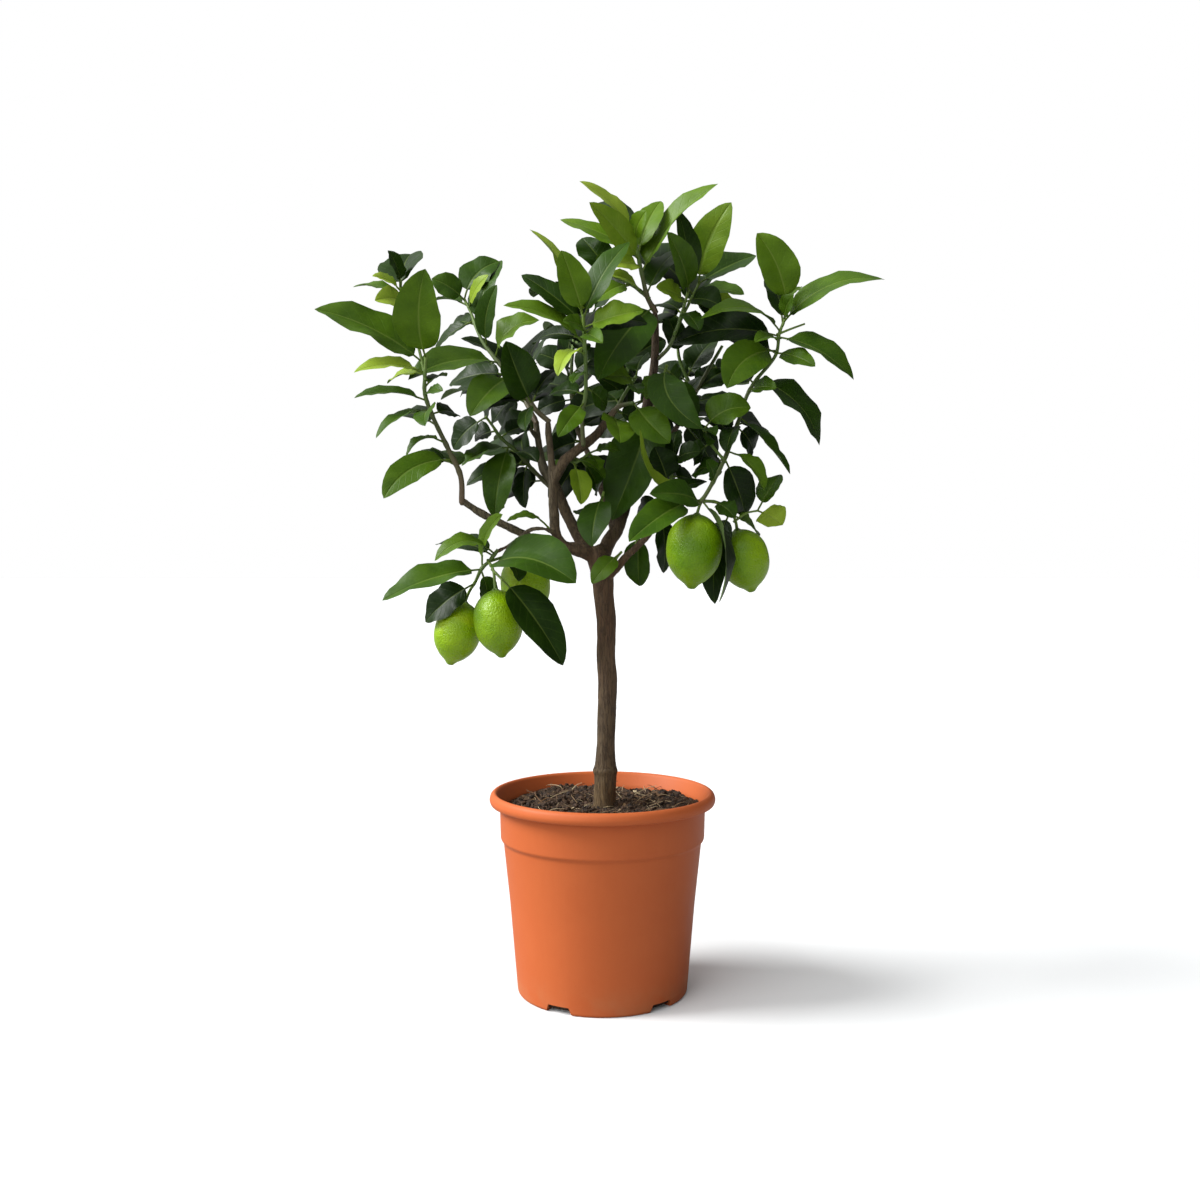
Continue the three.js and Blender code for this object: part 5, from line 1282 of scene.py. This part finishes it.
class LitterRule(Rule):
    """Scatters bits over the upper side of a surface."""

    def __init__(self) -> None:
        """Writes the tree."""
        inputs = {"Bit": bpy.types.Object, "Density": 1000.0, "Least": 0.5, "Most": 1.0}
        super().__init__("litter", inputs | {"Tilt": 0.5, "Darkest": 0.0, "Palest": 1.0, "Seed": 1})
        g = self.graph
        names = {"Mesh": self.given("Geometry"), "Density": self.given("Density"), "Seed": self.given("Seed")}
        points = g.node("GeometryNodeDistributePointsOnFaces", names, distribute_method="RANDOM")
        shade_of = self.chance(self.given("Darkest"), self.given("Palest"), 1)
        names = {"Geometry": points, "Name": "shade", "Value": shade_of}
        points = g.node("GeometryNodeStoreNamedAttribute", names, data_type="FLOAT", domain="POINT")
        tilt = self.given("Tilt")
        lean = (self.chance(-1.0, 1.0, 2) * tilt, self.chance(-1.0, 1.0, 3) * tilt)
        spin = g.node("ShaderNodeCombineXYZ", {0: lean[0], 1: lean[1], 2: self.chance(0.0, TURN, 4)})
        size = self.chance(self.given("Least"), self.given("Most"), 5)
        shares = (size * self.chance(0.7, 1.3, 6), size, size * self.chance(0.6, 1.1, 7))
        stretch = g.node("ShaderNodeCombineXYZ", dict(enumerate(shares)))
        bit = g.node("GeometryNodeObjectInfo", {"Object": self.given("Bit"), "As Instance": True}, "Geometry")
        names = {"Points": points, "Instance": bit, "Rotation": spin, "Scale": stretch}
        real = self.dressed(g.node("GeometryNodeInstanceOnPoints", names))
        where = g.node("GeometryNodeInputPosition")
        rough = g.node("ShaderNodeTexNoise", {"Vector": where, "Scale": 500.0, "Detail": 1.0}, "Color")
        self.end(self.moved(real, offset=(rough - (0.5, 0.5, 0.5)) * 0.0009))

    def chance(self, low: Any, high: Any, series: int) -> Flow:
        """A random number for each point."""
        names = {2: low, 3: high, "Seed": self.given("Seed") + series * 7}
        return self.graph.node("FunctionNodeRandomValue", names, 1, data_type="FLOAT")


@dataclass
class Compost:
    """The compost in the pot, heaped and crumbly, with litter on it.

    Args:
        top: Its height at the trunk.
        foot: The radius and height at which its side starts.
        collar: The radius and height at which its side meets the pot's collar.
        flare: How much its side widens for each millimetre above that.
        brim: Its edge's radius and greatest height.
        scattered: The radius within which litter lies.
        rings: Rings of points across its surface.
        sectors: Points in a ring.
    """

    top: float = 154.5
    foot: tuple[float, float] = (68.5, 3.05)
    collar: tuple[float, float] = (80.7, 128.0)
    flare: float = 2.1 / 29.5
    brim: tuple[float, float] = (82.6, 159.5)
    scattered: float = 75.0
    rings: int = 46
    sectors: int = 150

    def height(self, r: Array, a: Array) -> Array:
        """The height of the surface at a radius and an angle, as in the part's source."""
        x, y = r * np.cos(a), r * np.sin(a)
        heap = 6.5 * np.exp(-((x - 48) ** 2 + (y - 22) ** 2) / 900)
        heap += 4.5 * np.exp(-((x + 30) ** 2 + (y - 50) ** 2) / 1400)
        lumps = 1.1 * np.sin(0.21 * x + 1) * np.cos(0.19 * y) + 0.9 * np.sin(0.37 * x - 0.31 * y + 2)
        return self.top + heap + lumps * np.clip((r - 12) / 20, 0, 1)

    def skin(self, name: str, closed: bool) -> bpy.types.Object:
        """The surface with the wall and floor below it, or the surface alone and clear of the pot's wall."""
        n = self.sectors
        a = np.linspace(0, 2 * math.pi, n, endpoint=False)
        edge = np.minimum(self.height(np.full_like(a, self.brim[0]), a), self.brim[1])

        def ring(r: Any, z: Any) -> Array:
            """Points all round at a radius and a height."""
            return np.column_stack([r * np.cos(a), r * np.sin(a), np.broadcast_to(z, n)])

        side = self.collar[0] + (edge - self.collar[1]) * self.flare
        rows = [ring(*self.foot), ring(*self.collar), ring(side, edge)] if closed else []
        for r in np.linspace(self.brim[0] - 1.0 if closed else self.scattered, 1.5, self.rings):
            near = np.clip((r - 76) / 6, 0, 1)
            rows.append(ring(r, self.height(np.full_like(a, r), a) * (1 - near) + (edge - 0.2) * near))
        points, middle = np.vstack(rows), len(rows) * n
        points = np.vstack([points, [0, 0, points[-1, 2]]])
        faces = rings_to_faces(len(rows), n)
        faces += [(middle - n + k, middle - n + (k + 1) % n, middle) for k in range(n)]
        if closed:
            points = np.vstack([points, [0, 0, self.foot[1]]])
            faces += [((k + 1) % n, k, middle + 1) for k in range(n)]
        return make(name, points * MM, faces)

    def relief(self) -> Rule:
        """A rule that breaks a surface up into clods and crumbs."""
        rule = Rule("clods", {"Clods": 0.0055, "Crumbs": 0.003})
        g = rule.graph
        where = g.node("GeometryNodeInputPosition")
        x, y, z = where.parts()
        free = g.smooth(g.maths("SQRT", x * x + y * y), 0.0825, 0.078) * g.smooth(z, 0.14, 0.148)
        clods = g.noise(where, 120.0, 3.0, 0.55) - 0.5
        crumbs = g.noise(where, 340.0, 4.0, 0.7) - 0.45
        lift = (clods * rule.given("Clods") * 2.0 + crumbs * rule.given("Crumbs") * 2.0) * free
        up = g.node("ShaderNodeCombineXYZ", {2: lift})
        rule.end(rule.moved(rule.dressed(rule.given("Geometry")), offset=up))
        return rule

    def bit(self, kind: Bit) -> bpy.types.Object:
        """The shape of one bit of litter."""
        if kind is Bit.CRUMB:
            bpy.ops.mesh.primitive_ico_sphere_add(subdivisions=1, radius=0.0011)
            crumb = bpy.context.object
            for number, vertex in enumerate(crumb.data.vertices):
                vertex.co *= 0.75 + 0.55 * math.sin(2.4 * number) ** 2
            return crumb
        if kind is Bit.CHIP:
            outline = ((-3, -1), (2, -1.4), (3.2, 0.2), (1, 1.3), (-2, 1))
            points = [(x * (1 + 0.2 * z), y, z * 0.35) for z in (-1, 1) for x, y in outline]
            faces = rings_to_faces(2, 5) + [(4, 3, 2, 1, 0), (5, 6, 7, 8, 9)]
            return make("chip", np.array(points) * MM, faces)
        rows = []
        for t in np.linspace(-1, 1, 6):
            centre = np.array([7.5 * t, 1.6 * math.sin(2.2 * t), 1.4 - 1.4 * t * t])
            thick = 0.26 * (1 - 0.6 * abs(t) ** 3)
            rows += [centre + np.array([0, math.cos(q), math.sin(q)]) * thick for q in (0, 2.094, 4.189)]
        return make("fibre", np.array(rows) * MM, rings_to_faces(6, 3) + [(2, 1, 0), (15, 16, 17)])

    def build(self) -> None:
        """Makes the compost and scatters the litter over it."""
        compost, relief = self.skin("compost", True), self.relief()
        shade(compost)
        relief.run(compost, [DampCompost().build()])
        place(compost, "potting_soil", "soil")
        rule, litter = LitterRule(), Litter().build()
        crumbs = {"Density": 80000.0, "Least": 0.3, "Most": 2.4, "Tilt": 1.5, "Palest": 0.42}
        chips = {"Density": 11000.0, "Least": 0.35, "Most": 1.3, "Tilt": 0.8}
        fibres = {"Density": 14000.0, "Least": 0.5, "Most": 1.7, "Tilt": 0.6, "Darkest": 0.3}
        for number, (kind, sizes) in enumerate(zip(Bit, (crumbs, chips, fibres))):
            piece, shape = self.skin(f"compost_{kind.value}", False), self.bit(kind)
            relief.run(piece, [litter])
            rule.run(piece, [litter], Bit=shape, Seed=11 + number, **sizes)
            drop(shape)
            place(piece, "potting_soil")


class LimbRule(Rule):
    """Gives lines a round body as thick as their points say."""

    def __init__(self) -> None:
        """Writes the tree."""
        super().__init__("limbs", {"Sides": 16})
        self.end(self.dressed(self.body("Geometry")))

    def body(self, label: str) -> Flow:
        """The round bodies of an input's lines."""
        g = self.graph
        names = {"Resolution": self.given("Sides"), "Radius": 1.0}
        profile = g.node("GeometryNodeCurvePrimitiveCircle", names, mode="RADIUS")
        line = g.node("GeometryNodeMeshToCurve", {0: self.given(label)})
        names = {"Curve": line, "Profile Curve": profile, "Scale": g.named("radius"), "Fill Caps": True}
        return g.node("GeometryNodeCurveToMesh", names)


@dataclass
class Wood:
    """The stem and its main branches, grown as one.

    Args:
        grain: The size of the remesh that grows them together.
        scars: Knots and scars: x, z, depth, radius and height.
    """

    grain: float = 0.9
    scars: Points = (
        (-40, 399, -24, 3.4, 1.2), (-33, 443, -36, 4.2, 1.4), (36, 577, 4, 2.5, 0.9), (7, 352, -9, 3.2, 0.9),
        (-9, 186, -3, 4, 0.8), (9, 189, -4, 3.5, 0.7), (0, 338, -9, 3, -0.5), (8, 268, -4, 3, 0.5),
        (20, 420, 6, 3, 0.8), (-44, 430, 22, 3, 0.9),
    )

    def relief(self) -> Rule:
        """A rule that raises the bark's ridges and lumps along the normal."""
        rule = Rule("bark_ridges", {"Ridges": 0.0005, "Lumps": 0.0011})
        g = rule.graph
        where, normal = g.node("GeometryNodeInputPosition"), g.node("GeometryNodeInputNormal")
        ridges = g.noise(where * (1.0, 1.0, 0.1), 420.0, 3.0, 0.6) - 0.5
        lumps = g.noise(where * (1.0, 1.0, 0.35), 90.0, 2.0) - 0.5
        high = ridges * rule.given("Ridges") * 2.0 + lumps * rule.given("Lumps") * 2.0
        rule.end(rule.moved(rule.dressed(rule.given("Geometry")), offset=normal * high))
        return rule

    def build(self) -> bpy.types.Object:
        """Grows the limbs together and dresses them in bark."""
        points, edges, radii = [], [], []
        for path in (TRUNK, *BRANCHES):
            line = curved(limb(path), 5)
            edges += [(len(points) + i, len(points) + i + 1) for i in range(len(line) - 1)]
            points += [p[:3] * MM for p in line]
            radii += [max(p[3], 1.0) * MM / 2 for p in line]
        bark = YoungBark().build()
        wood = make("trunk_and_branches", np.array(points), (), edges, radius=np.array(radii))
        LimbRule().run(wood, [bark])
        remesh = wood.modifiers.new("grow_together", "REMESH")
        remesh.mode, remesh.voxel_size, remesh.use_smooth_shade = "VOXEL", self.grain * MM, True
        ease = wood.modifiers.new("ease", "SMOOTH")
        ease.factor, ease.iterations = 0.5, 3
        settle(wood)
        co = np.empty(len(wood.data.vertices) * 3)
        wood.data.vertices.foreach_get("co", co)
        co = co.reshape(-1, 3)
        out = np.empty_like(co)
        wood.data.vertices.foreach_get("normal", out.reshape(-1))
        for x, z, y, radius, rise in self.scars:
            near = np.sum((co - sight(x, z, y) * MM) ** 2, axis=1) / (radius * MM) ** 2
            co += out * (np.exp(-near) * rise * MM)[:, None]
        wood.data.vertices.foreach_set("co", co.ravel())
        self.relief().run(wood, [bark])
        shade(wood)
        return place(wood, "bark", "trunk")


@dataclass
class Lemon:
    """One lemon with the green star of its calyx.

    Args:
        name: Its node.
        plan: Where it hangs.
        outline: Its half width, as a share of the greatest, at shares of its length.
        sides: Faces round it.
        lobes: How many lobes its calyx has.
        star: How far they reach.
    """

    name: str
    plan: LemonPlan
    outline: Points = (
        (0.004, 0.0), (0.006, 0.2), (0.05, 0.47), (0.14, 0.75), (0.27, 0.94), (0.43, 1.0), (0.6, 0.96),
        (0.74, 0.81), (0.86, 0.54), (0.925, 0.3), (0.965, 0.19), (0.99, 0.12), (1.0, 0.0),
    )
    sides: int = 40
    lobes: int = 5
    star: float = 4.1

    def axis(self) -> tuple[Array, Array, Array, Array]:
        """Its top, its tip and two directions across."""
        p = self.plan
        top, tip = sight(*p.top, p.depth), sight(*p.tip, p.depth - 3)
        run = unit(tip - top)
        up = unit(np.array([0, 1, 0]) - run * run[1])
        return top, tip, up, np.cross(run, up)

    def fruit(self) -> bpy.types.Object:
        """The body of the fruit."""
        top, tip, up, side = self.axis()
        chance = Chance(len(self.name) * 31 + int(self.plan.width * 7))
        a1, a2, s1, s2 = 6.28 * chance(), 6.28 * chance(), 0.012 + 0.01 * chance(), 0.008 + 0.008 * chance()
        half = self.plan.width * true_scale(self.plan.depth) / 2
        line = curved(np.array(self.outline), 3)[1:-1]
        points, along = [top, tip], [0.0, 1.0]
        for t, r in line:
            for a in np.linspace(0, 2 * math.pi, self.sides, endpoint=False):
                bulge = s1 * math.sin(2 * a + a1) + s2 * math.sin(5 * a + a2)
                w = half * max(r, 0.02) * (1 + bulge * min(1, 6 * t))
                points.append(top + (tip - top) * t + (up * math.cos(a) + side * math.sin(a)) * w)
                along.append(t)
        faces, age = closed_faces(len(line), self.sides), np.zeros(len(points))
        return make(self.name + "_fruit", np.array(points) * MM, faces, along=along, age=age)

    def calyx(self) -> bpy.types.Object:
        """The lobed star where the stalk meets the fruit."""
        top, tip, up, side = self.axis()
        run, n, points = unit(tip - top), 30, []
        for share, drop_by in ((0.0, -1.6), (0.45, -1.2), (1.0, 0.5), (0.9, 1.1), (0.3, 0.9), (0.0, 0.9)):
            for k in range(n):
                a = 2 * math.pi * k / n
                lobed = 0.72 + 0.28 * math.cos(self.lobes * a) if share > 0.5 else 1.0
                r = share * self.star * lobed
                points.append(top + run * drop_by + (up * math.cos(a) + side * math.sin(a)) * max(r, 0.05))
        faces = rings_to_faces(6, n) + [tuple(range(n))[::-1], tuple(range(5 * n, 6 * n))]
        return make(self.name + "_calyx", np.array(points) * MM, faces, age=np.full(len(points), 0.25))

    def build(self, stem: bpy.types.Material) -> bpy.types.Object:
        """Makes the fruit and its calyx one piece."""
        fruit, calyx = self.fruit(), self.calyx()
        for piece, finish in ((fruit, Peel(f"peel_{self.name}", self.plan.ripe).build()), (calyx, stem)):
            shade(piece, 60.0)
            piece.data.materials.append(finish)
        with bpy.context.temp_override(active_object=fruit, selected_editable_objects=[fruit, calyx]):
            bpy.ops.object.join()
        return place(fruit, "lemon_peel", self.name)


class ShootRule(LimbRule):
    """Grows a shoot from its lines and from one point for each leaf, which holds what the blade follows."""

    WIDEST = 0.4312  # the greatest that the rule for a blade's outline gives before it is scaled

    def __init__(self) -> None:
        """Writes the tree."""
        inputs = {"Leaf": bpy.types.Object, "Sides": 8, "Stalk": 0.00078}
        Rule.__init__(self, "leafy_shoot", inputs | {"Half blade": 0.00024, "Ripple": 0.0005}, 2)
        g = self.graph
        stems = self.dressed(self.body("Geometry"), 1)
        leafy = g.named("width") > 0.0
        names = {"Object": self.given("Leaf"), "As Instance": True}
        shape = g.node("GeometryNodeObjectInfo", names, "Geometry")
        names = {"Points": self.given("Geometry"), "Selection": leafy, "Instance": shape}
        blades = self.dressed(g.node("GeometryNodeInstanceOnPoints", names), 2)
        self.end(stems, self.moved(blades, place=self.blade()))

    def blade(self) -> Flow:
        """Where a point of the plain leaf goes on the leaf that carries it."""
        g = self.graph
        base, bend, tip, normal = (g.named(n, "FLOAT_VECTOR") for n in ("base", "bend", "tip", "facing"))
        width, fold, wave, beat, phase, twist, stalk = (
            g.named(n) for n in ("width", "fold", "wave", "beat", "phase", "twist", "stalk")
        )
        ring, across, side = g.named("blade", "FLOAT_VECTOR").parts()
        t = g.maths("MAXIMUM", ring, 0.0)
        u = stalk * g.clamp(ring + 1.0) + (1.0 - stalk) * t
        rest = 1.0 - u
        line = base * (rest * rest) + bend * (u * rest * 2.0) + tip * (u * u)
        run = g.maths("NORMALIZE", (bend - base) * rest + (tip - bend) * u)
        s0 = g.maths("NORMALIZE", g.maths("CROSS_PRODUCT", run, normal))
        n0 = g.maths("CROSS_PRODUCT", s0, run)
        c, w = g.maths("COSINE", twist * u), g.maths("SINE", twist * u)
        s, n = s0 * c + n0 * w, n0 * c - s0 * w
        leafy = g.clamp(t * 14.0)
        outline = g.maths("SQRT", t) * g.maths("POWER", g.clamp(1.0 - t), 0.75) / self.WIDEST
        stalk_radius = self.given("Stalk") * g.clamp((1.0 - t) * 5.0)
        half = g.maths("MAXIMUM", stalk_radius, width * 0.5 * outline)
        out = abs(across)
        cubed = out * out * out
        turn = t * TURN
        lift = (fold + wave * g.maths("SINE", turn * beat + phase + (across > 0.0) * 2.0)) * leafy
        crimp = g.maths("SINE", turn * 6.0 + phase * 5.0) * self.given("Ripple") * cubed * leafy
        thick = stalk_radius * (1.0 - leafy) + self.given("Half blade") * leafy
        rise = (out * 1.2 - cubed * 0.3) * half * lift + crimp * outline + side * thick
        return line + s * (across * half) + n * rise


@dataclass
class Shoot:
    """A leafy shoot: its stems and every leaf it carries.

    Args:
        name: Its node.
        plan: How it is read from the front.
        number: Its place in the table.
    """

    name: str
    plan: ShootPlan
    number: int

    SUNK = 2.5  # how far a stem starts inside what it grows from
    SWELL = 0.22  # how much thicker a stem is where a leaf sits
    GREEN = 2.2  # the diameter up to which a stem is young
    AGEING = 2.4  # how much thicker it is when it is old

    def lines(
        self, leaves: list[Leaf]
    ) -> tuple[list[Array], list[tuple[int, int]], list[float], list[float]]:
        """Points, edges, radii and ages of the stems, a little thicker where a leaf sits."""
        points: list[Array] = []
        edges: list[tuple[int, int]] = []
        radii: list[float] = []
        ages: list[float] = []
        bases = np.array([leaf.base for leaf in leaves])
        for path in self.plan.stems:
            rows = limb(path)
            start = rows[0].copy()
            start[:3] -= unit(rows[1][:3] - rows[0][:3]) * self.SUNK
            line = curved(np.vstack([start, rows]), 6)
            edges += [(len(points) + i, len(points) + i + 1) for i in range(len(line) - 1)]
            for p in line:
                near = np.exp(-np.min(np.sum((bases - p[:3]) ** 2, axis=1)) / 4.0)
                points.append(p[:3])
                radii.append(p[3] / 2 * (1 + self.SWELL * near))
                ages.append(min(max((p[3] - self.GREEN) / self.AGEING, 0.0), 1.0))
        return points, edges, radii, ages

    def build(
        self, rule: ShootRule, plain: bpy.types.Object, finishes: list[bpy.types.Material]
    ) -> bpy.types.Object:
        """Grows the shoot.

        Args:
            rule: The tree that grows it.
            plain: The plain leaf that each blade is bent from.
            finishes: The materials of its stems and its leaves.

        Returns:
            The piece.
        """
        growth = Growth(self.name, self.plan, self.number)
        leaves = growth.seen() + growth.unseen()
        points, edges, radii, ages = self.lines(leaves)
        empty, count = np.zeros(3), len(points)

        def column(of: Callable[[Leaf], Any], blank: Any = 0.0) -> Array:
            """One attribute: blank on the stems, and what it is for each leaf."""
            return np.array([blank] * count + [of(leaf) for leaf in leaves], dtype=float)

        habits = ("fold", "wave", "beat", "phase", "twist")
        numbers = {name: column(lambda leaf, i=i: leaf.habit[i]) for i, name in enumerate(habits)}
        piece = make(
            self.name + "_leaves",
            np.array(points + [leaf.base for leaf in leaves]) * MM,
            (),
            edges,
            radius=np.array(radii + [0.0] * len(leaves)) * MM,
            age=np.array(ages + [0.0] * len(leaves)),
            base=column(lambda leaf: leaf.base * MM, empty),
            bend=column(lambda leaf: leaf.bend * MM, empty),
            tip=column(lambda leaf: leaf.tip * MM, empty),
            facing=column(lambda leaf: leaf.normal, empty),
            width=column(lambda leaf: leaf.width * MM),
            stalk=column(lambda leaf: min(0.2, PETIOLE / leaf.length)),
            tone=column(lambda leaf: leaf.tone),
            **numbers,
        )
        rule.run(piece, finishes, Leaf=plain)
        keep_only(piece, "blade", "tone", "age")
        LOG.info("%s: %d leaves", self.name, len(leaves))
        return place(piece, "foliage", self.name)


@dataclass
class Crown:
    """All leafy shoots.

    Args:
        rings: Where the plain leaf has its rings: under 0 on the stalk, and from 0 to 1 along the blade.
        sides: Points in a ring.
    """

    rings: tuple[float, ...] = (
        -1.0, -0.5, 0.0, 0.02, 0.07, 0.14, 0.22, 0.31, 0.41, 0.51, 0.61, 0.71, 0.8, 0.88, 0.95,
    )
    sides: int = 12

    def plain_leaf(self) -> bpy.types.Object:
        """A straight closed leaf: each point holds its ring, its place across and its side.

        Its faces are triangles, the same above and below, so a bent blade never shows its underside through
        its top.

        Returns:
            The leaf, as a helper object.
        """
        n, rows, faces = self.sides, [], []
        for ring in self.rings:
            for k in range(n):
                v, w = math.cos(2 * k * math.pi / n), math.sin(2 * k * math.pi / n)
                rows.append((ring, v * abs(v) if ring > 0 else v, w))
        for a, b, c, d in rings_to_faces(len(self.rings), n):
            rising = (b % n <= n // 4) or (n // 2 < b % n <= 3 * n // 4)
            faces += [(a, b, d), (b, c, d)] if rising and b % n else [(a, b, c), (a, c, d)]
        rows.append((1.0, 0.0, 0.0))
        end = len(rows) - 1
        faces += [(end - n + k, end - n + (k + 1) % n, end) for k in range(n)] + [tuple(range(n))[::-1]]
        leaf = make("plain_leaf", np.array([(v, r, w) for r, v, w in rows]) * MM, faces, blade=np.array(rows))
        shade(leaf)
        layers = leaf.data.attributes
        margin = layers.get("sharp_edge") or layers.new("sharp_edge", "BOOLEAN", "EDGE")
        for i, edge in enumerate(leaf.data.edges):
            a, b = sorted(edge.vertices)
            margin.data[i].value = a >= 2 * n and a % n in (0, n // 2) and (b - a == n or b == end)
        return leaf

    def build(self, stem: bpy.types.Material) -> None:
        """Grows every shoot of the table."""
        rule, plain, leaf = ShootRule(), self.plain_leaf(), LeafFinish().build()
        for number, (name, plan) in enumerate(SHOOTS.items()):
            Shoot(name, plan, number).build(rule, plain, [stem, leaf])
        drop(plain)


@dataclass
class Studio:
    """The camera, the lights and the pale floor.

    Args:
        pitch: How far the camera looks down, in degrees.
        lens: Its focal length on a 36 mm sensor.
        reach: How far the floor goes, in metres.
    """

    pitch: float = 3.08
    lens: float = 40.53
    reach: float = 9.0

    def camera(self) -> None:
        """Sets the camera up as the photograph was taken."""
        data = bpy.data.cameras.new("camera")
        data.lens, data.sensor_width, data.clip_start = self.lens, 36.0, 0.01
        camera = bpy.data.objects.new("camera", data)
        camera.location = EYE * MM
        camera.rotation_euler = (math.radians(90 - self.pitch), 0, 0)
        bpy.context.scene.collection.objects.link(camera)
        bpy.context.scene.camera = camera

    def light(self, name: str, towards: tuple[float, float, float], power: float, spread: float) -> None:
        """Adds one soft, far lamp.

        Args:
            name: Its name.
            towards: The way its light travels.
            power: Its strength.
            spread: How wide it looks from the object, in degrees.
        """
        data = bpy.data.lights.new(name, "SUN")
        data.energy, data.angle = power, math.radians(spread)
        lamp = bpy.data.objects.new(name, data)
        lamp.location = -Vector(towards) * 3
        lamp.rotation_euler = Vector(towards).to_track_quat("-Z", "Y").to_euler()
        bpy.context.scene.collection.objects.link(lamp)

    def world(self, dim: float, bright: float, seen: float) -> None:
        """A white surround, brighter towards the upper left, where the window is.

        Args:
            dim: The strength of its light from the lower right.
            bright: The strength of its light from the upper left.
            seen: How bright it looks behind the object.
        """
        world = bpy.data.worlds.new("studio")
        world.use_nodes = True
        bpy.context.scene.world = world
        g = Graph(world.node_tree)
        direct = g.node("ShaderNodeLightPath", None, "Is Camera Ray")
        way = g.node("ShaderNodeTexCoord", None, "Generated")
        side = g.maths("DOT_PRODUCT", way, (-0.7, -0.2, 0.69))
        fill = g.smooth(side, -0.3, 1.0) * (bright - dim) + dim
        strength = direct * (seen - fill) + fill
        glow = g.node("ShaderNodeBackground", {0: (1.0, 1.0, 1.0), 1: strength})
        g.node("ShaderNodeOutputWorld", {0: glow})

    def build(self) -> None:
        """Makes the studio."""
        self.camera()
        self.world(0.1, 0.85, 1.0)
        self.light("key", (0.7, 0.03, -0.63), 4.0, 28.0)
        self.light("window", (0.62, 0.62, -0.5), 1.1, 60.0)
        corners = np.array([(-1, -1, 0), (1, -1, 0), (1, 1, 0), (-1, 1, 0)]) * self.reach
        floor = make("floor", corners, [(0, 1, 2, 3)])
        material = bpy.data.materials.new("pale_floor")
        material.use_nodes = True
        g = Graph(material.node_tree)
        seen = g.node("ShaderNodeLightPath", None, "Is Camera Ray")
        colour = g.mix((0.4, 0.4, 0.4), (0.81, 0.823, 0.827), seen)
        shader = g.node("ShaderNodeBsdfDiffuse", {"Color": colour, "Roughness": 0.5})
        g.node("ShaderNodeOutputMaterial", {"Surface": shader})
        floor.data.materials.append(material)
        bpy.context.scene.view_settings.view_transform = "Standard"


def main() -> None:
    """Builds the tree and its studio; each piece logs its face count as it is placed."""
    logging.basicConfig(level=logging.INFO, format="%(name)s %(message)s")
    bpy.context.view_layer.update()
    Studio().build()
    Pot().build()
    Compost().build()
    Wood().build()
    stem = GreenStem().build()
    for name, plan in LEMONS.items():
        Lemon(name, plan).build(stem)
    Crown().build(stem)


if __name__ == "__main__":
    main()
